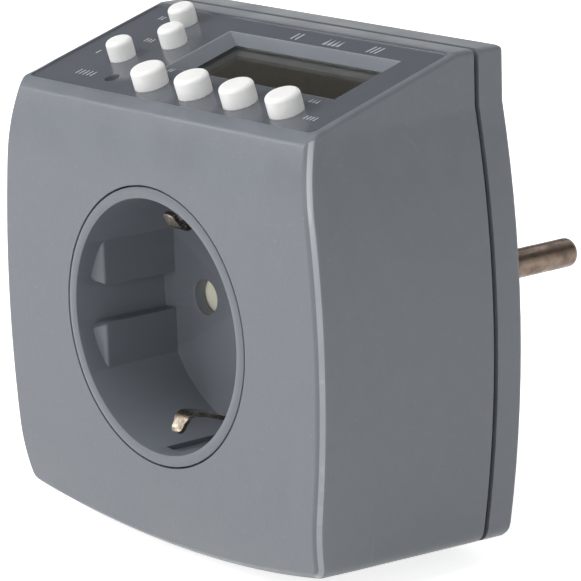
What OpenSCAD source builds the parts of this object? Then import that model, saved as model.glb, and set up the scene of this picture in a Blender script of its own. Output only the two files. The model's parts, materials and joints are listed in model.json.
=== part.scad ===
// Plug in timer switch. A socket outlet and a plug share one housing, and a digital clock
// with push buttons sits in the sloped top.
//
// X runs across the housing, Y runs from the user towards the wall, and Z is up.
// The origin is the centre of the end face of the plug boss. Inside the modules, depths
// are measured from the front face, and placed() moves each piece back to the origin.

/* [Housing] */
// Width across the corners of the housing
body_w = 72.2; // [71:0.1:76]
// Height of the shoulders over the socket axis, and depth of the lower corners under it
shoulder_h = 34.15; // [33.5:0.05:36]
// How far each side bulges out past the corners
side_bow = 3.35; // [1.5:0.05:5]
// How far the underside bulges down past the corners
base_bow = 3.75; // [2:0.05:5]
// How much higher the lower corners lie at the front than at the back
base_draft = 1.6; // [0:0.1:2.5]
// Height of the flat top over the socket axis
top_h = 42.7; // [41.5:0.1:44]
// Depth of the sloped control panel from its front edge to the flat roof
panel_depth = 28.7; // [27:0.1:30]
// Depth of the front housing
front_depth = 34.3; // [34:0.1:38]
// Width of the seam between the front housing and the rear cover
seam_gap = 0.8; // [0.4:0.05:1.2]
// Depth of the rear cover
cover_depth = 5.25; // [5:0.05:8]
// Wall thickness of the front housing and the rear cover
wall = 2.0; // [1.6:0.1:2.2]
// Half the height of the flat middle of the front face
face_flat_h = 21.9; // [18:0.1:24]
// Radius of the curve that takes the face back at its top and bottom
face_curve_r = 36; // [30:1:50]
// Width of the bevel round the front face
face_bevel = 1.4; // [0.8:0.1:2]
// Rounding of the lower corners
base_corner_r = 2.2; // [1.5:0.1:4]
// Rounding of the two long edges of the roof
roof_edge_r = 1.0; // [0.6:0.1:1.6]
// Depth of the tongue that the rear cover pushes into the front housing
tongue_l = 1.8; // [1:0.1:2.4]

/* [Control panel] */
// Depth of the step from the roof down to the panel
panel_step = 0.3; // [0.1:0.05:0.5]
// Width of the rim along the two sides of the panel
panel_side_rim = 1.2; // [0.9:0.1:1.6]
// Width of the rim along the front of the panel
panel_front_rim = 1.4; // [1:0.1:2]
// Width of the rim along the back of the panel
panel_back_rim = 0.6; // [0.3:0.1:1]
// Width of the display window at the panel
window_w = 40.8; // [38:0.1:42]
// Height of the display window up the slope
window_h = 13.7; // [12:0.1:14]
// How far the middle of the window lies to the right of the socket axis
window_x = 8.1; // [7:0.1:8.5]
// Distance up the slope to the lower edge of the window
window_v = 11.6; // [11.4:0.1:12.2]
// Depth of the window lens below the roof surface
window_depth = 2.4; // [2.1:0.1:2.8]
// How far the left and right bevels of the window lean in
window_side_lean = 1.5; // [1:0.1:2]
// How far the front and back bevels of the window lean in
window_end_lean = 0.65; // [0.3:0.05:1]

/* [Buttons] */
// Radius of the four large buttons in front of the window
large_key_r = 2.75; // [2.4:0.05:3]
// Radius of the three small buttons left of the window
small_key_r = 2.15; // [1.9:0.05:2.4]
// Height of every button over the roof surface
key_h = 2.8; // [2:0.1:3.4]
// Travel of every button
key_travel = 0.8; // [0.5:0.1:1]
// Gap between a button and its hole
key_clearance = 0.08; // [0.05:0.01:0.1]
// Distance between the large buttons
large_key_pitch = 10.85; // [10:0.05:11]
// Place of the first large button left of the socket axis
first_key_x = -8.85; // [-9.5:0.05:-8.5]
// Distance up the slope to the row of large buttons
large_key_v = 6.1; // [5.8:0.1:6.4]
// Places of the outer column of small buttons left of the socket axis
outer_column_x = -23.8; // [-24.5:0.1:-23]
// Place of the single small button between the columns
inner_column_x = -18.5; // [-19:0.1:-18]
// Distance up the slope to the lowest small button
small_key_v = 12.2; // [11.8:0.1:12.6]
// Step up the slope from one small button to the next
small_key_step = 6.55; // [6:0.05:7]
// Radius of the recessed reset button's hole
reset_hole_r = 1.2; // [1:0.05:1.4]
// Depth of the reset button below the roof surface
reset_depth = 1.1; // [0.8:0.1:1.4]
// Travel of the reset button
reset_travel = 0.4; // [0.2:0.05:0.5]

/* [Socket] */
// Radius of the socket well
well_r = 20; // [20:0.1:20.3]
// Depth of the socket well
well_depth = 17.6; // [17.5:0.1:18]
// Wall of the socket well
well_wall = 1.6; // [1.4:0.1:1.9]
// Thickness of the well's floor
floor_t = 2.1; // [1.8:0.1:2.6]
// Distance between the two pins
pin_pitch = 19; // [19:0.1:19.2]
// Radius of the pin holes in the floor
pin_hole_r = 2.85; // [2.7:0.05:3]
// How far the guide pads stand in from the wall of the well
pad_h = 2.0; // [1.5:0.1:2.2]
// Distance from the rim of the well to the front end of the guide pads
pad_start = 4.2; // [3:0.1:6]
// Width of the channel between an upper and a lower guide pad
channel_w = 6.0; // [5.5:0.1:7]
// Gap round the rim of the well
rim_gap = 0.25; // [0.15:0.05:0.4]

/* [Earth contacts] */
// Width of the earth strips
earth_w = 4.6; // [4:0.1:5]
// Thickness of the earth strips
earth_t = 0.7; // [0.5:0.05:0.8]
// Distance of the earth clips from the socket axis where they grip the plug
clip_grip = 14.4; // [14:0.1:15]
// Distance from the rim of the well to the tip of the earth clips
clip_start = 3.7; // [3:0.1:5]

/* [Plug] */
// Radius of the plug boss
boss_r = 18.5; // [18.3:0.1:18.5]
// Length of the plug boss
boss_l = 19.5; // [18:0.1:20]
// Wall of the plug boss
boss_wall = 3.6; // [3.2:0.1:4]
// Radius of the two pins
pin_r = 2.4; // [2.35:0.01:2.4]
// Length of the pins past the boss
pin_l = 19; // [18.5:0.1:19.5]
// Radius of the part of each pin that is held in the boss
pin_shank_r = 2.8; // [2.6:0.1:3]
// Rounding of the pin tips
pin_tip_r = 1.0; // [0.5:0.1:1.5]

/* [Safety shutter] */
// Angle that the shutter turns to clear the pin holes
shutter_angle = 45; // [42:1:48]
// Radius of the two wings over the pin holes
shutter_wing_r = 3.7; // [3.5:0.1:4]
// Thickness of the shutter
shutter_t = 1.6; // [1.2:0.1:1.8]

/* [Electronics] */
// Thickness of both circuit boards
board_t = 1.6; // [1:0.1:1.6]
// Distance from the roof surface down to the control board
control_board_drop = 7.5; // [7.3:0.1:7.8]
// Depth of the power board behind the front face
power_board_y = 29.9; // [29.5:0.1:30.2]
// Width, height and length of the relay
relay_size = [12.7, 15.6, 28.5]; // [10:0.1:30]
// Radius of the backup battery
battery_r = 6.2; // [5:0.1:6.8]
// Thickness of the backup battery
battery_t = 4.6; // [3:0.1:5]

/* [Hidden] */
$fn = 72;
SMOOTH = 128;

// Overall places along the depth
half_w = body_w / 2;
cover_start = front_depth + seam_gap;
body_depth = cover_start + cover_depth;
boss_end = body_depth + boss_l;
overlap = 0.02;

// Returns how far the front face has curved back at height z
function face_back(z) =
  let (past = max(0, abs(z) - face_flat_h))
  face_curve_r - sqrt(face_curve_r * face_curve_r - past * past);

panel_y = face_back(shoulder_h);
ridge_y = panel_y + panel_depth;
panel_slope = atan((top_h - shoulder_h) / panel_depth);
panel_l = panel_depth / cos(panel_slope);

// ---- Housing form -------------------------------------------------------------------

// Half width of the housing at height z
function side_x(z) = half_w + side_bow * max(0, 1 - pow(z / shoulder_h, 2));

// Height of the underside at place x across and depth y
function base_z(x, y) =
  -shoulder_h + base_draft * (1 - y / body_depth) - base_bow * (1 - pow(x / half_w, 2));

// Height of the roof at depth y
function roof_z(y) = min(top_h, shoulder_h + tan(panel_slope) * (y - panel_y));

// Point at share t of a rounded corner that runs from a to c with its sharp corner at b
function corner_point(a, b, c, t) = (1 - t) * (1 - t) * a + 2 * t * (1 - t) * b + t * t * c;

// Right half of the housing's outline, from the underside up to the roof, drawn in by inset
BASE_STEPS = 7;
SIDE_STEPS = 14;
CORNER_STEPS = 4;
function half_outline(inset, y, roof_y) =
  let (
    low = max(base_corner_r - inset, 0.5),
    high = max(roof_edge_r - inset, 0.4),
    top = roof_z(roof_y) - inset / cos(panel_slope),
    corner_z = base_z(half_w, y) + inset,
    corner_x = side_x(corner_z) - inset,
    corner = [corner_x, base_z(corner_x, y) + inset],
    base_end = [corner_x - low, base_z(corner_x - low, y) + inset],
    side_start = [side_x(corner[1] + low) - inset, corner[1] + low],
    side_top = min(shoulder_h, top - high - 0.4),
    side_end = [side_x(top - high) - inset, top - high],
    roof_end = [side_end[0] - high, top]
  )
  concat(
    [for (i = [0:BASE_STEPS - 1])
      let (x = base_end[0] * (i + 0.5) / (BASE_STEPS + 0.5))
      [x, base_z(x, y) + inset]],
    [for (i = [0:CORNER_STEPS]) corner_point(base_end, corner, side_start, i / CORNER_STEPS)],
    [for (i = [1:SIDE_STEPS])
      let (z = side_start[1] + (side_top - side_start[1]) * i / SIDE_STEPS)
      [side_x(z) - inset, z]],
    [for (i = [0:CORNER_STEPS])
      corner_point(side_end, [side_end[0], top], roof_end, i / CORNER_STEPS)]
  );

// Solid through rings of the housing's outline. Each ring is [depth, inset, follow], where
// follow is 1 when the ring curves back with the front face and 0 when it is flat
module housing_form(rings) {
  halves = [for (ring = rings) half_outline(ring[1], ring[0], ring[0] + ring[2] * panel_y)];
  half = len(halves[0]);
  count = 2 * half;
  last = len(rings) - 1;
  points = [
    for (k = [0:last])
      let (depth = rings[k][0], follow = rings[k][2])
      for (i = [0:count - 1])
        let (p = i < half ? halves[k][i] : halves[k][count - 1 - i])
        [i < half ? p[0] : -p[0], depth + follow * face_back(p[1]), p[1]]
  ];
  walls = [
    for (k = [0:last - 1])
      for (i = [0:count - 1])
        let (a = k * count + i, b = k * count + (i + 1) % count)
        for (face = [[a, b, b + count], [a, b + count, a + count]]) face
  ];
  front = [
    for (j = [0:half - 2])
      [count - 2 - j, j + 1, j, count - 1 - j]
  ];
  back = [
    for (j = [0:half - 2])
      let (start = last * count)
      [start + count - 1 - j, start + j, start + j + 1, start + count - 2 - j]
  ];
  polyhedron(points = points, faces = concat(front, walls, back));
}

module placed() {
  translate([0, -boss_end, 0]) children();
}

// Turns a shape drawn upwards so that it runs along the depth, from depth y
module along_depth(y, x = 0, z = 0) {
  translate([x, y, z]) rotate([-90, 0, 0]) children();
}

// Works in the panel's own frame: X across, Y up the slope, Z out of the roof surface
module on_panel(x = 0, v = 0, out = 0) {
  translate([0, panel_y, shoulder_h]) rotate([panel_slope, 0, 0]) translate([x, v, out])
    children();
}

// Flat bar between two corners, given as [x, y, z] each
module bar(low, high) {
  translate(low) cube(high - low);
}

// Plate of size [x, y] with rounded corners, its lower left corner at the origin
module rounded_plate(size, r, t) {
  translate([r, 0, 0]) cube([size[0] - 2 * r, size[1], t]);
  translate([0, r, 0]) cube([size[0], size[1] - 2 * r, t]);
  for (x = [r, size[0] - r], y = [r, size[1] - r])
    translate([x, y, 0]) cylinder(r = r, h = t, $fn = 32);
}

// ---- Screw places -------------------------------------------------------------------

post_r = 2.9;
post_inset = 4.6;
post_top_drop = 12.65;
post_top_x = half_w - post_inset;
post_top_z = shoulder_h - post_top_drop;
post_low_x = half_w - post_inset - 0.5;
post_low_z = -shoulder_h + post_inset;
housing_screw_places = [
  [-post_top_x, post_top_z], [post_top_x, post_top_z],
  [-post_low_x, post_low_z], [post_low_x, post_low_z]
];
housing_screw_r = 1.45;
housing_screw_head_r = 2.8;
housing_screw_l = 14;
screw_clearance = 0.05;
screw_seat_depth = 2.1;
screw_head_t = 1.5;
post_end = front_depth + seam_gap / 2 - 0.05;
cover_tube_start = front_depth + seam_gap / 2 + 0.05;
screw_seat_y = body_depth - screw_seat_depth;

// Pillars that carry the control board, in the panel's frame
pillar_r = 1.5;
pillar_x = half_w - wall - pillar_r - 0.5;
pillar_low_v = 4.5;
pillar_high_v = panel_l - 1.6;
pillar_places = [
  [-pillar_x, pillar_low_v], [pillar_x, pillar_low_v],
  [-pillar_x, pillar_high_v], [pillar_x, pillar_high_v]
];
board_screw_r = 0.8;
board_screw_head_r = 1.5;
board_screw_head_t = 1.0;
board_screw_l = 4.6;

// Posts that carry the power board
power_post_r = 2.4;
power_post_x = 15;
power_post_z = post_low_z + 1.25;
power_post_places = [[-power_post_x, power_post_z], [power_post_x, power_post_z]];

// ---- Buttons ------------------------------------------------------------------------

key_under = wall + 0.2;
key_flange_t = 0.7;
key_flange_w = 0.9;
mat_top = control_board_drop - 1.0;
dome_top = control_board_drop - 2.3;
key_stem_end = dome_top - key_travel - 0.1;
function large_key_x(i) = first_key_x + i * large_key_pitch;
key_places = [
  for (i = [0:3]) [large_key_x(i), large_key_v, large_key_r],
  [outer_column_x, small_key_v, small_key_r],
  [inner_column_x, small_key_v + small_key_step, small_key_r],
  [outer_column_x, small_key_v + 2 * small_key_step, small_key_r]
];
reset_x = inner_column_x;
reset_v = large_key_v - 0.4;
reset_switch_size = 4.5;
reset_switch_t = 1.3;
reset_stem_end = key_stem_end + 0.4;

// Round button with a soft top edge, a flange under the panel and a stem over its dome
module push_button(i) {
  place = key_places[i];
  r = place[2];
  edge = 0.6;
  arc_steps = 5;
  profile = concat(
    [[0, -key_stem_end], [r - 1.1, -key_stem_end], [r - 1.1, -key_under - key_flange_t]],
    [[r + key_flange_w, -key_under - key_flange_t], [r + key_flange_w, -key_under]],
    [[r, -key_under]],
    [for (k = [0:arc_steps])
      let (a = 90 * k / arc_steps)
      [r - edge + edge * cos(a), key_h - edge + edge * sin(a)]],
    [[0, key_h]]
  );
  placed() color("white") on_panel(place[0], place[1]) rotate_extrude() polygon(profile);
}

module clock_button() { push_button(0); }
module day_button() { push_button(1); }
module hour_button() { push_button(2); }
module minute_button() { push_button(3); }
module mode_button() { push_button(4); }
module program_button() { push_button(5); }
module random_button() { push_button(6); }

module reset_button() {
  r = reset_hole_r - key_clearance;
  stem_r = 0.7;
  placed() color("white") on_panel(reset_x, reset_v) rotate_extrude() polygon([
    [0, -reset_stem_end], [stem_r, -reset_stem_end], [stem_r, -key_under - key_flange_t],
    [r + 0.8, -key_under - key_flange_t], [r + 0.8, -key_under], [r, -key_under],
    [r, -reset_depth - 0.2], [r - 0.2, -reset_depth], [0, -reset_depth]
  ]);
}

module reset_switch() {
  half = reset_switch_size / 2;
  case_top = -control_board_drop + reset_switch_t;
  plunger_top = -reset_stem_end - reset_travel - 0.1;
  placed() color("dimgray") on_panel(reset_x, reset_v) {
    translate([-half, -half, -control_board_drop]) cube([2 * half, 2 * half, reset_switch_t]);
    translate([0, 0, case_top - overlap]) cylinder(r = 1.1, h = plunger_top - case_top + overlap);
  }
}

// ---- Housing parts ------------------------------------------------------------------

panel_left = -half_w + panel_side_rim;
window_left = window_x - window_w / 2;

// Solid that cuts the window: it leans in from the roof down to the lens
module window_cut() {
  above = 1;
  lean_x = window_side_lean;
  lean_v = window_end_lean;
  share = 1 + above / window_depth;
  w = window_w;
  h = window_h;
  low = [
    [lean_x, lean_v, -window_depth], [w - lean_x, lean_v, -window_depth],
    [w - lean_x, h - lean_v, -window_depth], [lean_x, h - lean_v, -window_depth]
  ];
  out_x = lean_x * (share - 1);
  out_v = lean_v * (share - 1);
  high = [
    [-out_x, -out_v, above], [w + out_x, -out_v, above],
    [w + out_x, h + out_v, above], [-out_x, h + out_v, above]
  ];
  polyhedron(
    points = concat(low, high),
    faces = [[0, 1, 2, 3], [7, 6, 5, 4], [4, 5, 1, 0], [5, 6, 2, 1], [6, 7, 3, 2], [7, 4, 0, 3]]
  );
}

module front_housing() {
  outer_rings = [
    [0, face_bevel, 1], [0.12, face_bevel - 0.35, 1], [face_bevel - 0.35, 0.12, 1],
    [face_bevel, 0, 1], [5, 0, 0.5], [9, 0, 0], [ridge_y, 0, 0], [front_depth, 0, 0]
  ];
  cavity_rings = [
    [wall, wall, 1], [5, wall, 0.5], [9, wall, 0], [ridge_y, wall, 0], [front_depth + 1, wall, 0]
  ];
  rebate_start = front_depth - tongue_l - 0.2;
  placed() color("slategray") difference() {
    union() {
      difference() {
        housing_form(outer_rings);
        housing_form(cavity_rings);
        housing_form([[rebate_start, tongue_inset - 0.1, 0],
                      [front_depth + 1, tongue_inset - 0.1, 0]]);
      }
      for (p = housing_screw_places)
        let (start = face_back(p[1]) + wall / 2)
        along_depth(start, p[0], p[1]) cylinder(r = post_r, h = post_end - start);
      for (p = power_post_places)
        let (start = face_back(p[1]) + wall / 2)
        along_depth(start, p[0], p[1]) cylinder(r = power_post_r, h = power_board_y - start);
      for (p = pillar_places)
        on_panel(p[0], p[1], -control_board_drop)
          cylinder(r = pillar_r, h = control_board_drop - wall / 2);
      on_panel(window_left - 0.8, window_v - 0.8, -window_depth)
        cube([window_w + 1.6, window_h + 1.6, window_depth - wall / 2]);
    }
    on_panel(panel_left, panel_front_rim, -panel_step)
      rounded_plate([body_w - 2 * panel_side_rim, panel_l - panel_front_rim - panel_back_rim],
                    1, panel_step + 2);
    along_depth(-1) cylinder(r = well_rim_r + rim_gap, h = wall + 4, $fn = SMOOTH);
    for (p = key_places)
      on_panel(p[0], p[1], -wall - 1) cylinder(r = p[2] + key_clearance, h = wall + 2);
    on_panel(reset_x, reset_v, -wall - 1) cylinder(r = reset_hole_r, h = wall + 2);
    on_panel(window_left, window_v) window_cut();
    for (p = housing_screw_places)
      along_depth(post_end - housing_screw_l, p[0], p[1])
        cylinder(r = housing_screw_r + screw_clearance, h = housing_screw_l + 1, $fn = 32);
    for (p = power_post_places)
      along_depth(power_board_y - board_screw_l, p[0], p[1])
        cylinder(r = board_screw_r + screw_clearance, h = board_screw_l + 1, $fn = 24);
    for (p = pillar_places)
      on_panel(p[0], p[1], -control_board_drop - 1)
        cylinder(r = board_screw_r + screw_clearance, h = board_screw_l + 1, $fn = 24);
  }
}

tongue_inset = 1.25;
tongue_t = 1.05;

module rear_cover() {
  edge = 1.0;
  tongue_start = front_depth - tongue_l;
  slot_w = earth_w + 0.6;
  tube_r = housing_screw_head_r + 1.1;
  placed() color("slategray") difference() {
    union() {
      difference() {
        union() {
          housing_form([
            [cover_start, 0, 0], [body_depth - edge, 0, 0],
            [body_depth - 0.3 * edge, 0.3 * edge, 0], [body_depth, edge, 0]
          ]);
          housing_form([[tongue_start, tongue_inset, 0],
                        [cover_start + 1, tongue_inset, 0]]);
        }
        housing_form([[tongue_start - 1, tongue_inset + tongue_t, 0],
                      [body_depth - wall, tongue_inset + tongue_t, 0]]);
      }
      for (p = housing_screw_places)
        along_depth(cover_tube_start, p[0], p[1])
          cylinder(r = tube_r, h = body_depth - wall / 2 - cover_tube_start);
      plug_boss();
    }
    for (p = housing_screw_places) {
      along_depth(cover_tube_start - 1, p[0], p[1])
        cylinder(r = housing_screw_r + 0.2, h = body_depth, $fn = 32);
      along_depth(screw_seat_y, p[0], p[1])
        cylinder(r = housing_screw_head_r + 0.25, h = 10, $fn = 48);
    }
    for (x = [-pin_x, pin_x])
      along_depth(body_depth - wall - 1, x)
        cylinder(r = pin_shank_r + screw_clearance, h = boss_l + 10, $fn = 48);
    for (side = [0, 1])
      mirror([0, 0, side])
        bar([-slot_w / 2, body_depth - wall - 1, strip_z - 0.1],
            [slot_w / 2, body_depth + 1, strip_z + earth_t + 0.1]);
  }
}

pin_x = pin_pitch / 2;
flat_x = well_r - pad_h - 0.7;
rib_w = channel_w - 1;
strip_z = boss_r - 2.3;
boss_floor = 2.9;
strip_l = boss_l - 2.6;
pin_post_wall = 1.4;
web_t = 1.4;
boss_chamfer = 0.8;

// Round boss of the plug with its keyed sides, hollow behind, with a post round each pin
module plug_boss() {
  groove_w = earth_w + 0.6;
  difference() {
    along_depth(body_depth - overlap) rotate_extrude($fn = SMOOTH) polygon([
      [0, 0], [boss_r, 0], [boss_r, boss_l - boss_chamfer],
      [boss_r - boss_chamfer, boss_l + overlap], [0, boss_l + overlap]
    ]);
    difference() {
      along_depth(body_depth - wall - 1)
        cylinder(r = boss_r - boss_wall, h = wall + 1 + boss_l - boss_floor, $fn = SMOOTH);
      for (x = [-pin_x, pin_x])
        along_depth(body_depth - wall, x)
          cylinder(r = pin_shank_r + pin_post_wall, h = boss_l + wall);
      bar([-boss_r, body_depth - wall, -web_t / 2], [boss_r, boss_end, web_t / 2]);
    }
    for (side = [0, 1], up = [0, 1])
      mirror([side, 0, 0]) mirror([0, 0, up])
        bar([flat_x, body_depth + 1.2, rib_w / 2], [boss_r + 1, boss_end + 1, boss_r]);
    for (up = [0, 1])
      mirror([0, 0, up])
        bar([-groove_w / 2, body_depth - overlap, strip_z - 0.1],
            [groove_w / 2, body_depth + strip_l + 0.3, boss_r + 1]);
  }
}

module housing_screws() {
  recess_l = 3.4;
  recess_w = 0.6;
  placed() color("silver") for (p = housing_screw_places)
    difference() {
      union() {
        along_depth(post_end - housing_screw_l + 0.5, p[0], p[1])
          cylinder(r = housing_screw_r, h = screw_seat_y + 0.5 - post_end + housing_screw_l,
                   $fn = 32);
        along_depth(screw_seat_y + 0.05, p[0], p[1]) rotate_extrude($fn = 48) polygon([
          [0, 0], [housing_screw_head_r, 0], [housing_screw_head_r, screw_head_t / 2],
          [housing_screw_head_r - 0.6, screw_head_t - 0.2], [0, screw_head_t]
        ]);
      }
      for (turn = [0, 90])
        along_depth(screw_seat_y + screw_head_t / 2 - 0.1, p[0], p[1]) rotate([0, 0, turn])
          translate([-recess_l / 2, -recess_w / 2, 0]) cube([recess_l, recess_w, screw_head_t]);
    }
}

// ---- Socket -------------------------------------------------------------------------

well_rim_r = well_r + well_wall + 0.2;
well_back = well_depth + floor_t;
flange_r = well_rim_r + 2.6;

// Profile of one earth clip as [depth, height]: tip, grip, then back to its slot
clip_slot_z = well_r - 1.7;
recess_depth = 1.2;
strip_gap = 0.3;
bracket_y = body_depth - wall - 1.7;
clip_path = [
  [clip_start, clip_grip + 2.9], [clip_start + 0.15, clip_grip + 0.7],
  [clip_start + 0.7, clip_grip + 0.1], [clip_start + 1.5, clip_grip],
  [clip_start + 2.4, clip_grip + 0.2], [well_depth - 2.2, clip_slot_z - 0.4],
  [well_depth - 0.6, clip_slot_z], [bracket_y, clip_slot_z]
];

module socket_well() {
  slot_w = earth_w + 0.8;
  placed() color("slategray") difference() {
    union() {
      difference() {
        along_depth(0) rotate_extrude($fn = SMOOTH) polygon([
          [well_r + 0.5, 0], [well_rim_r - 0.2, 0], [well_rim_r, 0.2], [well_rim_r, wall + 0.2],
          [flange_r, wall + 0.2], [flange_r, wall + 1.8], [well_r + well_wall, wall + 1.8],
          [well_r + well_wall, well_back], [0, well_back], [0, well_depth],
          [well_r, well_depth], [well_r, 0.5]
        ]);
        for (up = [0, 1])
          mirror([0, 0, up])
            bar([-slot_w / 2, clip_start - 1.5, well_r - 1],
                [slot_w / 2, well_depth, well_r + recess_depth]);
      }
      guide_pads();
    }
    for (x = [-pin_x, pin_x])
      along_depth(well_depth - 1, x) cylinder(r = pin_hole_r, h = floor_t + 2, $fn = 48);
    for (up = [0, 1])
      mirror([0, 0, up])
        bar([-slot_w / 2, well_depth - 1, clip_slot_z - strip_gap],
            [slot_w / 2, well_back + 1, clip_slot_z + earth_t + strip_gap]);
  }
}

// Two pads on each side of the well, with a channel between them and a sloped front end
module guide_pads() {
  pad_x = well_r - pad_h;
  for (side = [0, 1])
    mirror([side, 0, 0])
      difference() {
        intersection() {
          along_depth(pad_start)
            cylinder(r = well_r + 0.3, h = well_depth - pad_start + 0.5, $fn = SMOOTH);
          bar([pad_x, 0, -well_r], [well_r + 1, well_back, well_r]);
        }
        bar([0, 0, -channel_w / 2], [well_r, well_depth, channel_w / 2]);
        translate([pad_x, pad_start, 0]) rotate([0, 0, -45])
          translate([-5, -5, -well_r]) cube([10, 5, 2 * well_r]);
      }
}

// ---- Carrier, shutter and contacts --------------------------------------------------

carrier_r = well_r + 0.3;
chamber_r = 14.6;
shutter_y = well_back + 0.25;
chamber_end = shutter_y + shutter_t + 1.6;
sleeve_r = pin_r + 0.65;
sleeve_start = chamber_end + 1.2;
carrier_end = body_depth - wall - 2.75;
pocket_r = sleeve_r + 0.35;
pivot_r = 2.0;
pivot_clearance = 0.05;
hollow_w = 10;
hollow_h = 7.2;
hollow_z = 11;
stop_in_r = 11.4;
stop_t = 1.5;
stop_gap = 1;
tail_z = -13.5;
tail_x = well_r + 5;
tail_t = 0.7;
tab_w = 4;

module contact_carrier() {
  leg_slot_w = earth_w + 0.8;
  placed() color("gainsboro") union() {
    difference() {
      along_depth(well_back + 0.05) cylinder(r = carrier_r, h = carrier_end - well_back - 0.05,
                                             $fn = SMOOTH);
      along_depth(well_back - 1) cylinder(r = chamber_r, h = chamber_end - well_back + 1, $fn = 96);
      for (x = [-pin_x, pin_x])
        along_depth(well_back, x) cylinder(r = pocket_r, h = carrier_end, $fn = 48);
      for (up = [0, 1])
        mirror([0, 0, up])
          bar([-leg_slot_w / 2, 0, clip_slot_z - strip_gap],
              [leg_slot_w / 2, body_depth, carrier_r + 1]);
      for (side = [-1, 1], up = [-1, 1])
        translate([side * pin_x - hollow_w / 2, chamber_end + 2, up * hollow_z - hollow_h / 2])
          cube([hollow_w, carrier_end - chamber_end, hollow_h]);
    }
    along_depth(well_back + 0.15) {
      cylinder(r = pivot_r - pivot_clearance, h = chamber_end - well_back - 0.15 + overlap);
      shutter_stops(chamber_end - well_back - 0.15 + overlap);
    }
  }
}

// Ribs on the chamber's wall that stop the wings of the shutter at both ends of its turn
module shutter_stops(h) {
  wing_edge = acos((stop_in_r * stop_in_r + pin_x * pin_x - shutter_wing_r * shutter_wing_r)
                   / (2 * stop_in_r * pin_x));
  rib_l = chamber_r + 0.5 - stop_in_r;
  for (turn = [0, 180]) {
    rotate([0, 0, turn - wing_edge - stop_gap])
      translate([stop_in_r, -stop_t, 0]) cube([rib_l, stop_t, h]);
    rotate([0, 0, turn + shutter_angle + wing_edge + stop_gap])
      translate([stop_in_r, 0, 0]) cube([rib_l, stop_t, h]);
  }
}

module safety_shutter() {
  hub_r = 4.6;
  arm_w = 5.2;
  placed() color("ivory") along_depth(shutter_y) difference() {
    union() {
      cylinder(r = hub_r, h = shutter_t);
      for (x = [-pin_x, pin_x]) translate([x, 0, 0]) cylinder(r = shutter_wing_r, h = shutter_t);
      translate([-pin_x, -arm_w / 2, 0]) cube([pin_pitch, arm_w, shutter_t]);
    }
    translate([0, 0, -1]) cylinder(r = pivot_r, h = shutter_t + 2);
  }
}

// Round wire of radius r that follows a path of points
module wire(path, r, sides = 6) {
  last = len(path) - 1;
  function unit(p) = p / norm(p);
  function heading(i) = unit(path[min(i + 1, last)] - path[max(i - 1, 0)]);
  axis = [0, 1, 0];
  points = [
    for (i = [0:last])
      let (
        t = heading(i),
        u = unit(cross(t, axis)),
        v = cross(u, t)
      )
      for (s = [0:sides - 1])
        let (a = 360 * s / sides)
        path[i] + r * (cos(a) * u + sin(a) * v)
  ];
  walls = [
    for (i = [0:last - 1], s = [0:sides - 1])
      let (a = i * sides + s, b = i * sides + (s + 1) % sides)
      for (face = [[a, b, b + sides], [a, b + sides, a + sides]]) face
  ];
  start_cap = [[for (s = [0:sides - 1]) sides - 1 - s]];
  end_cap = [[for (s = [0:sides - 1]) last * sides + s]];
  polyhedron(points = points, faces = concat(start_cap, walls, end_cap));
}

module shutter_spring() {
  wire_r = 0.2;
  coil_r = pivot_r + 0.55;
  turns = 2.25;
  steps = 18;
  start_y = shutter_y + shutter_t + 0.35;
  pitch = 0.5;
  coil = [
    for (k = [0:turns * steps])
      let (a = 360 * k / steps)
      [coil_r * cos(a), start_y + pitch * k / steps, coil_r * sin(a)]
  ];
  leg = [coil_r, start_y, -5];
  placed() color("silver") wire(concat([leg], coil), wire_r);
}

// Split sleeve that grips a plug pin, with a tail that bends forward to the power board
module socket_contact(side) {
  t = tail_t;
  back = carrier_end - 0.1;
  tail_y = carrier_end + 0.1;
  placed() color("goldenrod") {
    difference() {
      along_depth(sleeve_start, side * pin_x) rotate_extrude($fn = 48) polygon([
        [pin_r + 0.1, 0], [pin_r + 0.5, 0], [sleeve_r, 1.2], [sleeve_r, tail_y - sleeve_start + t],
        [pin_r - 0.05, tail_y - sleeve_start + t], [pin_r - 0.05, 1.2]
      ]);
      bar([side * pin_x - 0.4, sleeve_start - 1, 0], [side * pin_x + 0.4, back - 2, pin_pitch]);
    }
    difference() {
      union() {
        along_depth(tail_y, side * pin_x) cylinder(r = sleeve_r + 0.8, h = t);
        translate([side * pin_x, tail_y, 0])
          rotate([0, atan2(-tail_z, side * (tail_x - pin_x)), 0])
            translate([0, 0, -tab_w / 2])
              cube([norm([tail_x - pin_x, tail_z]), t, tab_w]);
        along_depth(tail_y, side * tail_x, tail_z) cylinder(r = tab_w / 2 + 0.3, h = t);
      }
      along_depth(tail_y - 1, side * pin_x) cylinder(r = pin_r - 0.05, h = t + 2, $fn = 48);
    }
    bar([side * tail_x - tab_w / 2, power_board_y + board_t - 0.8, tail_z - t / 2],
        [side * tail_x + tab_w / 2, tail_y + overlap, tail_z + t / 2]);
  }
}

module line_socket_contact() { socket_contact(-1); }
module neutral_socket_contact() { socket_contact(1); }

// Strip bent from a list of [depth, height] points, as wide as the earth strips
module bent_strip(path, t) {
  last = len(path) - 1;
  function unit(p) = p / norm(p);
  function side_step(i) =
    let (d = unit(path[min(i + 1, last)] - path[max(i - 1, 0)]))
    [-d[1], d[0]];
  outer = [for (i = [0:last]) path[i] + t * side_step(i)];
  rotate([90, 0, 90]) translate([0, 0, -earth_w / 2]) linear_extrude(earth_w)
    polygon(concat(path, [for (i = [last:-1:0]) outer[i]]));
}

module socket_earth_bracket() {
  placed() color("silver") {
    for (up = [0, 1]) mirror([0, 0, up]) bent_strip(clip_path, earth_t);
    bar([-earth_w / 2, bracket_y - overlap, -clip_slot_z - earth_t],
        [earth_w / 2, bracket_y + earth_t, clip_slot_z + earth_t]);
  }
}

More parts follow.
